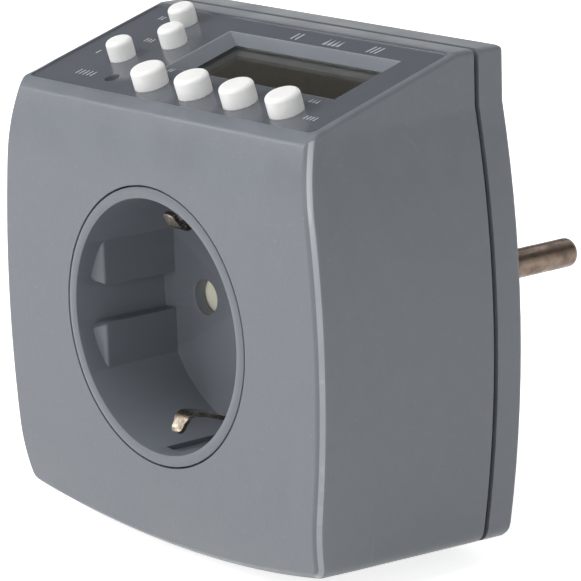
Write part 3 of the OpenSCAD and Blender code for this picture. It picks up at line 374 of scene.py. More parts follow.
def banded(name, first, second, per_metre, axis, rough, **uniform):
    """Stripes across one axis: rubber strips, windings or a flat cable."""
    made, tree, shader = start_material(name, **uniform)
    along = add(tree, "ShaderNodeSeparateXYZ", {0: object_place(tree)}).outputs[axis]
    wave = calc(tree, "SINE", product(tree, along, per_metre * math.tau))
    mottled = use(tree, MOTTLE, Color=first, Drift=0.15, Patches_per_metre=400.0)
    feed(tree, shader.inputs,
         Base_Color=blend_colors(tree, spread_map(tree, wave, -0.1, 0.1), mottled.outputs["Color"], second),
         Roughness=filmed(tree, rough, 0.3), Normal=bump(tree, product(tree, wave, 0.5), 0.00002))
    return made


def board_finish(name, mask_color, track_color, scale, rough):
    """Circuit board: solder mask over copper tracks, with bare pads."""
    made, tree, shader = start_material(name)
    feeds = {"Vector": object_place(tree), "Scale": scale, "Randomness": 0.85}
    cells = add(tree, "ShaderNodeTexVoronoi", feeds, distance="CHEBYCHEV").outputs["Distance"]
    tracks = spread_map(tree, cells, 0.32, 0.36)
    pads = spread_map(tree, cells, 0.12, 0.10)
    mottled = use(tree, MOTTLE, Color=mask_color, Drift=0.2, Patches_per_metre=200.0)
    covered = blend_colors(tree, tracks, track_color, mottled.outputs["Color"])
    feed(tree, shader.inputs, Base_Color=blend_colors(tree, pads, covered, SOLDER_COLOR),
         Roughness=filmed(tree, rough, 0.25), Metallic=pads,
         Normal=bump(tree, calc(tree, "SUBTRACT", 1.0, tracks), 0.00003))
    return made


def display_finish():
    """Unlit display: dark olive glass, a little greener in the middle of its height."""
    made, tree, shader = start_material("unlit display", Specular_IOR_Level=0.35)
    along = add(tree, "ShaderNodeSeparateXYZ", {0: object_place(tree)}).outputs["Y"]
    low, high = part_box("lcd_glass")
    share = spread_map(tree, along, low.y, high.y)
    off_middle = calc(tree, "ABSOLUTE", calc(tree, "SUBTRACT", product(tree, share, 2.0), 1.1))
    uneven = product(tree, noise(tree, 160.0, 2.0), 0.35)
    soft = spread_map(tree, calc(tree, "ADD", calc(tree, "SUBTRACT", 1.0, off_middle), uneven), 0.1, 1.3)
    toned = blend_colors(tree, soft, rgb(22, 17, 6), rgb(48, 41, 14))
    cells = calc(tree, "ADD", 0.94, product(tree, noise(tree, 9000.0, 1.0), 0.12))
    feed(tree, shader.inputs, Base_Color=tinted(tree, toned, cells),
         Roughness=spread_map(tree, noise(tree, 500.0, 4.0), 0.3, 0.7, 0.16, 0.26))
    return made


def lens_finish(name, tint, rough, dust):
    """Clear moulding: tinted, with faint dust that dulls it here and there."""
    made, tree, shader = start_material(name, Transmission_Weight=1.0, IOR=1.3)
    film = use(tree, DUST, Amount=dust, Patches_per_metre=500.0).outputs["Mask"]
    feed(tree, shader.inputs, Base_Color=blend_colors(tree, film, tint, LENS_DUST_COLOR),
         Roughness=calc(tree, "ADD", rough, product(tree, film, 0.5)),
         Normal=bump(tree, noise(tree, 90.0, 2.0), 0.00001))
    return made


FINISH = {
    # Housing: its paler edges are partly wear and partly painted highlight, its lighter flecks a painted glint
    "housing": plastic("grained housing plastic", rgb(115, 120, 127), 0.36, grain=3200.0, depth=0.00005,
        fleck=0.2, fleck_lift=1.16, drift=0.07, patches=70.0, dust=0.05, wear_and_highlight=0.4, pale=1.4,
        scratched=0.3),
    # Rim: lighter than the housing, a painted highlight along the upright front edges
    "rim": plastic("rim plastic with painted highlight", rgb(166, 171, 177), 0.24, grain=3200.0, depth=0.00002,
        fleck=0.1, drift=0.1, dust=0.0, wear_and_highlight=0.5, pale=1.3),
    "panel": plastic("smooth panel plastic", rgb(93, 97, 104), 0.17, grain=1500.0, depth=0.000002, fleck=0.0,
        drift=0.03, dust=0.0, gloss_drift=0.02),
    "frame": plastic("window frame plastic", rgb(138, 143, 150), 0.3, grain=1800.0, depth=0.000004, fleck=0.0,
        drift=0.02, dust=0.0, gloss_drift=0.015),
    "well": plastic("socket well plastic", rgb(112, 117, 124), 0.3, grain=1800.0, depth=0.000005, fleck=0.0,
        drift=0.03, dust=0.0, gloss_drift=0.02),
    "carrier": plastic("carrier plastic", rgb(214, 211, 202), 0.45, grain=1500.0, depth=0.000006),
    "shutter": plastic("cream shutter plastic", rgb(250, 246, 226), 0.35, grain=1500.0, depth=0.000004,
        fleck=0.0, dust=0.1, Subsurface_Weight=0.15, Subsurface_Radius=(0.001, 0.0008, 0.0006)),
    "key": plastic("white key plastic", rgb(252, 252, 250), 0.38, grain=1400.0, depth=0.000003, fleck=0.0,
        drift=0.02, dust=0.03, wear_and_highlight=0.1, Subsurface_Weight=0.1,
        Subsurface_Radius=(0.0008, 0.0008, 0.0008)),
    "black": plastic("black component plastic", rgb(38, 38, 40), 0.5, grain=2500.0, dust=0.25),
    "silicone": plastic("silicone sheet", rgb(196, 197, 194), 0.55, grain=1200.0, depth=0.000004,
        Subsurface_Weight=0.2, Subsurface_Radius=(0.001, 0.001, 0.001)),
    "relay_blue": plastic("blue relay cover", rgb(58, 98, 178), 0.3, grain=1500.0, depth=0.000004, fleck=0.0),
    "capacitor": plastic("yellow capacitor case", rgb(214, 176, 60), 0.35, grain=1600.0, depth=0.000005),
    "sleeve": plastic("dark capacitor sleeve", rgb(34, 42, 78), 0.28, grain=900.0, depth=0.000008, fleck=0.0),
    "varistor": plastic("blue varistor coat", rgb(52, 92, 160), 0.3, grain=700.0, depth=0.00003, fleck=0.0),
    "steel": metal("zinc plated steel", rgb(190, 191, 190), rgb(160, 160, 158), 0.32),
    "nickel": metal("nickel plated clip", rgb(176, 166, 152), rgb(104, 92, 80), 0.2, stretch=(1.0, 0.08, 0.3),
        lines=8000.0, depth=0.000001),
    "brass": metal("contact brass", rgb(212, 178, 104), rgb(168, 132, 70), 0.3),
    "pin": metal("tarnished pin plating", rgb(134, 118, 106), rgb(104, 90, 80), 0.3, stretch=(1.0, 0.12, 1.0),
        lines=2500.0),
    "rubber": banded("striped contact rubber", rgb(226, 150, 160), rgb(40, 34, 36), 2800.0, "X", 0.6),
    "winding": banded("enamelled winding", rgb(156, 84, 38), rgb(96, 44, 20), 4500.0, "Z", 0.3,
        Coat_Weight=0.4),
    "cable": banded("flat cable", rgb(176, 178, 182), rgb(150, 152, 158), 1000.0, "X", 0.45),
    "board": board_finish("green control board", rgb(16, 84, 48), rgb(34, 112, 66), 420.0, 0.32),
    "power_board": board_finish("brown power board", rgb(172, 138, 84), rgb(186, 124, 70), 260.0, 0.42),
    "lcd": display_finish(),
    "lens": lens_finish("clear window lens", (0.9, 0.9, 0.86, 1), 0.04, 0.02),
    # Dark plastic on the rear cover's tongue: painted shade of the seam gap
    "tongue": plastic("shaded tongue plastic", rgb(44, 46, 51), 0.6, grain=2600.0, fleck=0.0, dust=0.05),
    "print": plastic("pale panel print", rgb(172, 177, 183), 0.5, grain=5000.0, depth=0.000004, fleck=0.0),
}


# ---- Mesh helpers ---------------------------------------------------
def link(name, mesh):
    made = bpy.data.objects.new(name, mesh)
    SCENE.collection.objects.link(made)
    return made


def mesh_of(name, points, faces):
    mesh = bpy.data.meshes.new(name)
    mesh.from_pydata([tuple(p) for p in points], [], faces)
    mesh.validate()
    mesh.update()
    return mesh


def band_faces(count, rings=2):
    """Four sided faces between rings of points that follow one another."""
    faces = []
    for start in range(0, count * (rings - 1), count):
        for i in range(count):
            a, b = start + i, start + (i + 1) % count
            faces.append((a, b, b + count, a + count))
    return faces


def end_faces(count, rings=2):
    """Caps on the first and the last ring."""
    return [tuple(reversed(range(count))), tuple(range((rings - 1) * count, rings * count))]


def outward(mesh):
    """Merges doubles and points every face outwards."""
    work = bmesh.new()
    work.from_mesh(mesh)
    bmesh.ops.remove_doubles(work, verts=work.verts, dist=1e-7)
    bmesh.ops.recalc_face_normals(work, faces=work.faces)
    work.to_mesh(mesh)
    work.free()
    return mesh


def shade(mesh, angle=35.0):
    mesh.shade_smooth()
    mesh.set_sharp_from_angle(angle=math.radians(angle))
    return mesh


def baked(piece):
    """The piece with its modifiers made into a plain mesh."""
    graph = bpy.context.evaluated_depsgraph_get()
    mesh = bpy.data.meshes.new_from_object(piece.evaluated_get(graph), depsgraph=graph)
    piece.modifiers.clear()
    piece.data = mesh
    return piece


def solid(name, points, faces, finish, placed=Matrix()):
    """Closed piece in one finish from points and faces."""
    mesh = mesh_of(name, points, faces)
    mesh.transform(placed)
    outward(mesh)
    mesh.materials.append(FINISH[finish])
    return link(name, mesh)


def cut(piece, tool, operation="DIFFERENCE"):
    """Cuts the tool out of the piece, or joins it on, and removes the tool."""
    change = piece.modifiers.new("cut", "BOOLEAN")
    change.operation, change.object, change.solver = operation, tool, "EXACT"
    change.material_mode = "TRANSFER"
    baked(piece)
    bpy.data.objects.remove(tool)
    return piece


def weighed(piece, angle):
    """Shades the piece smooth up to an angle, with its large faces kept flat."""
    shade(piece.data, angle)
    piece.modifiers.new("weigh", "WEIGHTED_NORMAL").keep_sharp = True
    return baked(piece)


def rounded(piece, width, segments=2, angle=32.0):
    """Rounds off the sharp edges of a piece by width millimetres."""
    round_off = piece.modifiers.new("round", "BEVEL")
    round_off.width, round_off.segments = width * MM, segments
    round_off.limit_method, round_off.angle_limit = "ANGLE", math.radians(angle)
    baked(piece)
    return weighed(piece, 45.0)


def stands_for(piece, node, body="housing"):
    """The piece moves with a body and takes the place of a CAD node."""
    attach(piece, body)
    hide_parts(node)
    return piece


def refined(node, name, finish, width, body="housing"):
    """Merged copy of a CAD node with its sharp edges rounded off, which stands for that node."""
    mesh = NODES[node].data.copy()
    work = bmesh.new()
    work.from_mesh(mesh)
    bmesh.ops.remove_doubles(work, verts=work.verts, dist=2e-6)
    bmesh.ops.dissolve_limit(work, angle_limit=math.radians(0.4), verts=work.verts, edges=work.edges)
    work.to_mesh(mesh)
    work.free()
    mesh.materials.clear()
    mesh.materials.append(FINISH[finish])
    return stands_for(rounded(link(name, mesh), width), node, body)


def slot_of(node):
    return next(row["material_slot"] for row in frame["record"]["subparts"] if row["node"] == node)


# ---- Geometry trees -------------------------------------------------
def open_form(name, inputs):
    tree = bpy.data.node_groups.new(name, "GeometryNodeTree")
    tree.is_modifier = True
    tree.interface.new_socket("Geometry", in_out="INPUT", socket_type="NodeSocketGeometry")
    for label, kind, value in inputs:
        tree.interface.new_socket(label, in_out="INPUT", socket_type=kind).default_value = value
    tree.interface.new_socket("Finish", in_out="INPUT", socket_type="NodeSocketMaterial")
    tree.interface.new_socket("Geometry", in_out="OUTPUT", socket_type="NodeSocketGeometry")
    return tree, tree.nodes.new("NodeGroupInput").outputs


def close_form(tree, take, geometry):
    """Ends a tree in plain geometry with its material."""
    real = add(tree, "GeometryNodeRealizeInstances", {"Geometry": geometry}).outputs[0]
    dressed = add(tree, "GeometryNodeSetMaterial", {"Geometry": real, "Material": take["Finish"]}).outputs[0]
    out = tree.nodes.new("NodeGroupOutput")
    tree.links.new(dressed, out.inputs["Geometry"])
    return tree


def make_turned_form():
    """Turns a profile about the Z axis. The profile's points hold radius in X and height in Z."""
    tree, take = open_form("turned form", [("Steps round", "NodeSocketInt", 96)])
    size = add(tree, "GeometryNodeAttributeDomainSize", {"Geometry": take["Geometry"]}, component="MESH")
    columns = calc(tree, "ADD", take["Steps round"], 1.0)
    grid = add(tree, "GeometryNodeMeshGrid", {"Vertices X": size.outputs["Point Count"], "Vertices Y": columns})
    index = add(tree, "GeometryNodeInputIndex").outputs[0]
    row = calc(tree, "FLOOR", calc(tree, "DIVIDE", calc(tree, "ADD", index, 0.5), columns))
    column = calc(tree, "SUBTRACT", index, calc(tree, "MULTIPLY", row, columns))
    turn = calc(tree, "MULTIPLY", calc(tree, "DIVIDE", column, take["Steps round"]), math.tau)
    place = add(tree, "GeometryNodeInputPosition").outputs[0]
    sampled = add(tree, "GeometryNodeSampleIndex",
                  {"Geometry": take["Geometry"], "Index": row}, data_type="FLOAT_VECTOR", domain="POINT")
    value = next(s for s in sampled.inputs if s.name == "Value" and s.enabled)
    tree.links.new(place, value)
    split = add(tree, "ShaderNodeSeparateXYZ", {0: next(s for s in sampled.outputs if s.enabled)}).outputs
    x = calc(tree, "MULTIPLY", split["X"], calc(tree, "COSINE", turn))
    y = calc(tree, "MULTIPLY", split["X"], calc(tree, "SINE", turn))
    spot = add(tree, "ShaderNodeCombineXYZ", {"X": x, "Y": y, "Z": split["Z"]}).outputs[0]
    moved = add(tree, "GeometryNodeSetPosition", {"Geometry": grid.outputs["Mesh"], "Position": spot}).outputs[0]
    merged = add(tree, "GeometryNodeMergeByDistance", {"Geometry": moved, "Distance": 0.0005}).outputs[0]
    return close_form(tree, take, merged)


def make_row():
    """Repeats the given shape along a line."""
    tree, take = open_form("row of copies", [("Count", "NodeSocketInt", 3), ("Step", VECTOR, (1, 0, 0))])
    line = add(tree, "GeometryNodeMeshLine", {"Count": take["Count"], "Offset": take["Step"]}, mode="OFFSET")
    copies = add(tree, "GeometryNodeInstanceOnPoints", {
        "Points": line.outputs["Mesh"], "Instance": take["Geometry"]}).outputs[0]
    return close_form(tree, take, copies)


TURNED, ROW = make_turned_form(), make_row()


def form(name, tree, finish, placed, points=((0, 0, 0),), faces=(), angle=35.0, **values):
    """Runs a geometry tree on a small mesh and makes the result a plain mesh in its place."""
    piece = link(name, mesh_of(name, points, faces))
    change = piece.modifiers.new("form", "NODES")
    change.node_group = tree
    sockets = {s.name: s.identifier for s in tree.interface.items_tree
               if s.item_type == "SOCKET" and s.in_out == "INPUT"}
    change[sockets["Finish"]] = FINISH[finish]
    for key, value in values.items():
        change[sockets[key.replace("_", " ")]] = value
    baked(piece)
    piece.data.transform(placed)
    shade(outward(piece.data), angle)
    return piece


def turned(name, profile, finish, placed, steps=96, angle=35.0):
    """Piece turned from a profile of (radius, height) pairs, in millimetres."""
    return form(name, TURNED, finish, placed, [(r, 0, h) for r, h in profile], angle=angle, Steps_round=steps)


# ---- Front housing --------------------------------------------------
def side_x(z):
    return HALF_W + SIDE_BOW * max(0.0, 1 - (z / SHOULDER) ** 2)


def base_z(x, y):
    return -SHOULDER + BASE_DRAFT * (1 - y / BODY_DEPTH) - BASE_BOW * (1 - (x / HALF_W) ** 2)


def roof_z(y):
    return min(TOP, SHOULDER + math.tan(SLOPE) * (y - PANEL_Y))


def corner_point(a, b, c, t):
    return tuple((1 - t) ** 2 * p + 2 * t * (1 - t) * q + t * t * r for p, q, r in zip(a, b, c))


def half_outline(inset, y, roof_y, base_steps, side_steps, corner_steps):
    """Right half of the outline from the underside up to the roof, drawn in by inset."""
    low = max(BASE_CORNER_R - inset, 0.5)
    high = max(ROOF_EDGE_R - inset, 0.4)
    top = roof_z(roof_y) - inset / math.cos(SLOPE)
    corner_x = side_x(base_z(HALF_W, y) + inset) - inset
    corner = (corner_x, base_z(corner_x, y) + inset)
    base_end = (corner_x - low, base_z(corner_x - low, y) + inset)
    side_start = (side_x(corner[1] + low) - inset, corner[1] + low)
    side_top = min(SHOULDER, top - high - 0.4)
    side_end = (side_x(top - high) - inset, top - high)
    roof_end = (side_end[0] - high, top)
    points = []
    for i in range(base_steps):
        x = base_end[0] * (i + 0.5) / (base_steps + 0.5)
        points.append((x, base_z(x, y) + inset))
    for i in range(corner_steps + 1):
        points.append(corner_point(base_end, corner, side_start, i / corner_steps))
    for i in range(1, side_steps + 1):
        z = side_start[1] + (side_top - side_start[1]) * i / side_steps
        points.append((side_x(z) - inset, z))
    for i in range(corner_steps + 1):
        points.append(corner_point(side_end, (side_end[0], top), roof_end, i / corner_steps))
    return points


def housing_form(name, rings, finish, steps=(20, 56, 7), rim=None):
    """Closed form through rings of the outline, each (depth, inset, follow the front's curve).

    The upright parts of the rings from rim[0] to rim[1] get the rim finish, whose lighter colour is a painted
    highlight along the edge."""
    halves = [half_outline(i, d, d + f * PANEL_Y, *steps) for d, i, f in rings]
    half = len(halves[0])
    count = 2 * half
    points = []
    for (depth, _, follow), side in zip(rings, halves):
        for x, z in side + [(-x, z) for x, z in reversed(side)]:
            points.append(at(x, depth + follow * face_back(z), z))
    faces = band_faces(count, len(rings))
    last = (len(rings) - 1) * count
    for j in range(half - 1):
        faces.append((count - 2 - j, j + 1, j, count - 1 - j))
        faces.append((last + count - 1 - j, last + j, last + j + 1, last + count - 2 - j))
    piece = solid(name, points, faces, finish)
    # Faces of the rim rings near the sides take the lighter rim finish, a painted highlight
    if rim:
        piece.data.materials.append(FINISH["rim"])
        for face in piece.data.polygons[rim[0] * count:rim[1] * count]:
            face.material_index = int(abs(face.center.x) > RIM_X * MM and face.center.z < RIM_TOP * MM)
    return piece


def plate_tool(name, x, v, w, h, radius, levels, finish):
    """Cutting tool in the panel's frame: rings of a rounded plate, each (out, grow x, grow v)."""
    points, corner_steps = [], 6
    for out, grow_x, grow_v in levels:
        r = max(radius + min(grow_x, grow_v), 0.03)
        x0, x1 = x - grow_x + r, x + w + grow_x - r
        v0, v1 = v - grow_v + r, v + h + grow_v - r
        for cx, cv, start in ((x1, v0, -90), (x1, v1, 0), (x0, v1, 90), (x0, v0, 180)):
            for k in range(corner_steps + 1):
                a = math.radians(start + 90 * k / corner_steps)
                points.append((cx + r * math.cos(a), cv + r * math.sin(a), out))
    shape = len(points) // len(levels), len(levels)
    return solid(name, points, band_faces(*shape) + end_faces(*shape), finish, ON_PANEL)


def joined(name, pieces):
    """One object from several that don't touch."""
    work = bmesh.new()
    materials = []
    for piece in pieces:
        for material in piece.data.materials:
            if material not in materials:
                materials.append(material)
        start = len(work.faces)
        work.from_mesh(piece.data)
        work.faces.ensure_lookup_table()
        remap = [materials.index(m) for m in piece.data.materials]
        for face in work.faces[start:]:
            face.material_index = remap[face.material_index]
    mesh = bpy.data.meshes.new(name)
    work.to_mesh(mesh)
    work.free()
    for material in materials:
        mesh.materials.append(material)
    for piece in pieces:
        bpy.data.objects.remove(piece)
    return link(name, mesh)


def post(name, x, y, z, radius, length, steps=40):
    """Round bar that runs back from a place behind the front face."""
    profile = [(0, 0), (radius, 0), (radius, length), (0, length)]
    return turned(name, profile, "housing", along_depth(x, y, z), steps)


def pillar(name, x, v, low, high, radius, steps=32):
    """Round bar square to the panel."""
    profile = [(0, low), (radius, low), (radius, high), (0, high)]
    return turned(name, profile, "housing", on_panel(x, v), steps)


POST_R, SCREW_R = 2.9, 1.5
POWER_POST_R, PILLAR_R, BOARD_SCREW_R = 2.4, 1.5, 0.85
POST_PLACES = [(-31.5, 21.5), (31.5, 21.5), (-31.0, -29.55), (31.0, -29.55)]
POST_END = FRONT_DEPTH + 0.35
BOARD_DROP = 7.5
PILLAR_X = 32.1
PILLAR_PLACES = [(x, v) for v in (4.5, PANEL_L - 1.6) for x in (-PILLAR_X, PILLAR_X)]
POWER_Y = 29.9
POWER_POSTS = [(-15.0, -28.3), (15.0, -28.3)]


def make_housing():
    rings = [(d, i, 1.0) for d, i in zip(BEVEL_STEPS, reversed(BEVEL_STEPS))]
    rings += [(d, 0.0, f) for d, f in ((2.5, 0.9), (4.0, 0.65), (6.0, 0.35), (9.0, 0.0), (16.0, 0.0), (23.0, 0.0))]
    ridge = PANEL_Y + PANEL_DEPTH
    rings += [(ridge, 0.0, 0.0), (FRONT_DEPTH - 0.25, 0.0, 0.0), (FRONT_DEPTH - 0.08, 0.06, 0.0),
              (FRONT_DEPTH, 0.22, 0.0)]
    shell = housing_form("housing_shell", rings, "housing", rim=RIM_STEPS)
    inner = [(d, WALL, f) for d, f in ((WALL, 1.0), (5.0, 0.5), (9.0, 0.0), (ridge, 0.0), (FRONT_DEPTH + 1, 0.0))]
    cut(shell, housing_form("cavity", inner, "housing", (8, 16, 4)))
    rebate = [(d, TONGUE_INSET - 0.1, 0.0) for d in (FRONT_DEPTH - TONGUE_L - 0.2, FRONT_DEPTH + 1)]
    cut(shell, housing_form("rebate", rebate, "housing", (12, 30, 5)))
    posts = [post("post", x, face_back(z) + 1, z, POST_R, POST_END - face_back(z) - 1) for x, z in POST_PLACES]
    posts += [post("post", x, face_back(z) + 1, z, POWER_POST_R, POWER_Y - face_back(z) - 1)
              for x, z in POWER_POSTS]
    posts += [pillar("pillar", x, v, -BOARD_DROP, -WALL / 2, PILLAR_R) for x, v in PILLAR_PLACES]
    cut(shell, joined("posts", posts), "UNION")
    depth = WINDOW["depth"]
    opening = WINDOW["x"] - WINDOW["w"] / 2, WINDOW["v"], WINDOW["w"], WINDOW["h"]
    frame_levels = [(-depth, 0.8, 0.8), (-WALL / 2, 0.8, 0.8)]
    cut(shell, plate_tool("window_frame", *opening, 0.2, frame_levels, "housing"), "UNION")
    lip = 0.16
    recess = [(-STEP, -0.12, -0.12), (-STEP + 0.03, -0.04, -0.04), (-STEP + 0.09, 0.0, 0.0), (-lip, 0.0, 0.0),
              (-lip * 0.3, 0.04, 0.04), (0.0, lip, lip), (2.0, lip, lip)]
    cut(shell, plate_tool("recess", -HALF_W + 1.2, 1.4, 2 * HALF_W - 2.4, PANEL_L - 2.0, 1.0, recess, "panel"))
    lean = [(out, -WINDOW["lean_x"] * -out / depth, -WINDOW["lean_v"] * -out / depth)
            for out in (-depth - 0.3, -STEP - 0.16)]
    flare = [(-STEP - 0.05, -0.16, -0.06), (-STEP + 0.01, 0.0, 0.08), (1.0, 0.2, 0.2)]
    cut(shell, plate_tool("window_cut", *opening, 0.25, lean + flare, "frame"))
    well_hole = [(0, -2), (WELL_HOLE_R + 0.12, -2), (WELL_HOLE_R + 0.12, 0), (WELL_HOLE_R + 0.03, 0.03),
                 (WELL_HOLE_R, 0.12), (WELL_HOLE_R, WALL + 4), (0, WALL + 4)]
    holes = [turned("well_hole", well_hole, "housing", along_depth(0, 0, 0), 192)]
    for x, v, r in list(KEYS.values()) + [(RESET_X, RESET_V, RESET_R - KEY_GAP)]:
        r += KEY_GAP
        key_hole = [(0, -4), (r, -4), (r, -STEP - 0.12), (r + 0.04, -STEP - 0.03), (r + 0.14, -STEP + 0.005),
                    (r + 0.14, 2), (0, 2)]
        holes.append(turned("key_hole", key_hole, "panel", on_panel(x, v), 64))
    for x, z in POST_PLACES:
        holes.append(post("pilot", x, POST_END - 14, z, SCREW_R, 16, steps=24))
    for x, z in POWER_POSTS:
        holes.append(post("pilot", x, POWER_Y - 4.6, z, BOARD_SCREW_R, 6, steps=20))
    for x, v in PILLAR_PLACES:
        holes.append(pillar("pilot", x, v, -BOARD_DROP - 1, -BOARD_DROP + 3.6, BOARD_SCREW_R, steps=20))
    cut(shell, joined("holes", holes))
    outward(shell.data)
    stands_for(weighed(shell, 30.0), "front_housing")


def make_cover():
    """Rear cover, whose tongue gets a dark finish, because it lies in the shade of the seam."""
    cover = refined("rear_cover", "cover_shell", "housing", 0.22)
    cover.data.materials.append(FINISH["tongue"])
    for face in cover.data.polygons:
        if face.center.y < at(0, FRONT_DEPTH + 0.7, 0).y:
            face.material_index = 1


make_housing()
make_cover()
refined("contact_carrier", "carrier_moulding", "carrier", 0.15)
refined("safety_shutter", "shutter_plate", "shutter", 0.2, body="safety_shutter")
refined("line_pin", "line_plug_pin", "pin", 0.12)
refined("neutral_pin", "neutral_plug_pin", "pin", 0.12)
refined("plug_earth_strip", "plug_earth_straps", "nickel", 0.1)


# ---- Socket well and earth clips ------------------------------------
WELL_R, WELL_RIM_R, WELL_WALL, WELL_DEPTH, WELL_BACK = 20.0, 21.8, 1.6, 17.6, 19.7
FLANGE_R, PIN_X, PIN_HOLE_R = 24.4, 9.5, 2.85
PAD_X, PAD_START, PAD_RAMP, PAD_NOSE_R, PAD_CORNER_R, CHANNEL = 17.2, 2.6, 1.0, 0.8, 2.8, 6.0
CLIP_START, CLIP_GRIP, CLIP_RISE, CLIP_T, CLIP_HALF, TONGUE_HALF = 3.3, 14.4, 2.8, 0.7, 1.6, 1.3
CLIP_SLOT_Z, SLOT_ROOM, RECESS_ROOM, BRACKET_Y, BRACKET_HALF = 18.3, 0.3, 0.2, 36.65, 2.3


def prism(name, outline, low, high, finish, across):
    """Straight bar with the given outline. Across names the axis that it runs along: "x" or "z"."""
    def spot(a, b, c):
        return at(c, a, b) if across == "x" else at(a, b, c)
    points = [spot(a, b, c) for c in (low, high) for a, b in outline]
    return solid(name, points, band_faces(len(outline)) + end_faces(len(outline)), finish)


def box(name, low, high, finish):
    return prism(name, [(low[0], low[1]), (high[0], low[1]), (high[0], high[1]), (low[0], high[1])],
                 low[2], high[2], finish, "z")


def fillet(corner, before, after, radius, steps=6):
    """Round between two straight lines that meet in a corner, as points from one to the other."""
    corner, before, after = Vector(corner), Vector(before), Vector(after)
    to_before, to_after = (before - corner).normalized(), (after - corner).normalized()
    reach = radius / math.tan(to_before.angle(to_after) / 2)
    start, end = corner + to_before * reach, corner + to_after * reach
    return [corner_point(start, corner, end, k / steps) for k in range(steps + 1)]


def make_pad(side, up):
    """Guide pad in the well: its front end slopes up, and it is round next to the channel."""
    foot, nose = (WELL_R + 0.5, PAD_START - 0.5 * PAD_RAMP / (WELL_R - PAD_X)), (PAD_X, PAD_START + PAD_RAMP)
    plan = [(WELL_R + 0.5, WELL_DEPTH + 1), foot] + fillet(nose, foot, (PAD_X, WELL_DEPTH), PAD_NOSE_R)
    plan += [(PAD_X, WELL_DEPTH + 1)]
    near, far = CHANNEL / 2, WELL_R
    corner = (PAD_START - 0.2, near)
    flank = [(WELL_DEPTH + 1, near), (WELL_DEPTH + 1, far), (corner[0], far)]
    flank += fillet(corner, (corner[0], far), (WELL_DEPTH, near), PAD_CORNER_R)
    pad = prism("pad", [(side * x, y) for x, y in plan], -far, far, "well", "z")
    cut(pad, prism("flank", [(y, up * z) for y, z in flank], -far - 1, far + 1, "well", "x"), "INTERSECT")
    limit = [(0, 0), (WELL_R + 0.3, 0), (WELL_R + 0.3, WELL_DEPTH + 0.5), (0, WELL_DEPTH + 0.5)]
    return cut(pad, turned("limit", limit, "well", along_depth(0, 0, 0), 160), "INTERSECT")


def make_well():
    """Well with its rim, flange, recesses for the clips, guide pads, pin holes and slots."""
    edge = 0.16
    profile = [(0, WELL_DEPTH), (WELL_R - 0.3, WELL_DEPTH), (WELL_R - 0.08, WELL_DEPTH - 0.08),
               (WELL_R, WELL_DEPTH - 0.3), (WELL_R, edge), (WELL_R + edge * 0.3, edge * 0.3), (WELL_R + edge, 0),
               (WELL_RIM_R - 0.2, 0), (WELL_RIM_R - 0.06, 0.06), (WELL_RIM_R, 0.2), (WELL_RIM_R, WALL + 0.2),
               (FLANGE_R, WALL + 0.2), (FLANGE_R, WALL + 1.8), (WELL_R + WELL_WALL, WALL + 1.8),
               (WELL_R + WELL_WALL, WELL_BACK), (0, WELL_BACK)]
    well = turned("well_moulding", profile, "well", along_depth(0, 0, 0), 192)
    for up in (1, -1):
        z = sorted((up * (WELL_R - 1), up * (WELL_R + 0.6)))
        cut(well, box("recess", (-CLIP_HALF - RECESS_ROOM, CLIP_START - 0.4, z[0]),
                      (CLIP_HALF + RECESS_ROOM, WELL_DEPTH - 0.02, z[1]), "well"))
    for side in (1, -1):
        for up in (1, -1):
            cut(well, make_pad(side, up), "UNION")
    hole = [(0, -1), (PIN_HOLE_R + 0.2, -1), (PIN_HOLE_R + 0.2, 0), (PIN_HOLE_R + 0.05, 0.06), (PIN_HOLE_R, 0.2),
            (PIN_HOLE_R, 4), (0, 4)]
    for side in (1, -1):
        # Turned a little, so that none of its corners lies on an edge between the floor's faces
        placed = along_depth(side * PIN_X, WELL_DEPTH, 0) @ Matrix.Rotation(0.03, 4, "Z")
        cut(well, turned("pin_hole", hole, "well", placed, 64))
    for up in (1, -1):
        z = sorted((up * (CLIP_SLOT_Z - SLOT_ROOM), up * (CLIP_SLOT_Z + CLIP_T + SLOT_ROOM)))
        cut(well, box("slot", (-CLIP_HALF - SLOT_ROOM, WELL_DEPTH - 1, z[0]),
                      (CLIP_HALF + SLOT_ROOM, WELL_BACK + 1, z[1]), "well"))
    shade(outward(well.data), 28.0)
    stands_for(well, "socket_well")


def clip_path():
    """Middle line of a clip as (depth, height, half width): tongue, bend that grips, leg and slot."""
    bend_y, bend_r, corner = CLIP_START + 2.9, 2.0, 0.9
    bend = [(bend_y + bend_r * math.cos(math.radians(a)), CLIP_GRIP + bend_r * (1 + math.sin(math.radians(a))))
            for a in range(214, 271, 7)]
    tip = Vector((CLIP_START, CLIP_GRIP + CLIP_RISE))
    run = Vector(bend[0]) - tip
    path = []
    for k in range(7):
        s = corner * (1 - math.cos(math.radians(15 * k)))
        place = tip + run.normalized() * s
        path.append((*place, TONGUE_HALF - corner + math.sqrt(max(0.0, corner**2 - (corner - s) ** 2)) + 0.02))
    path.append((*(tip + run * 0.7), TONGUE_HALF))
    path += [(y, z, CLIP_HALF) for y, z in bend]
    leg = ((8.5, CLIP_GRIP + 0.5), (12.0, CLIP_GRIP + 1.75), (15.0, CLIP_GRIP + 3.1), (16.0, CLIP_SLOT_Z - 0.2),
           (17.2, CLIP_SLOT_Z), (BRACKET_Y, CLIP_SLOT_Z))
    return path + [(y, z, CLIP_HALF) for y, z in leg]


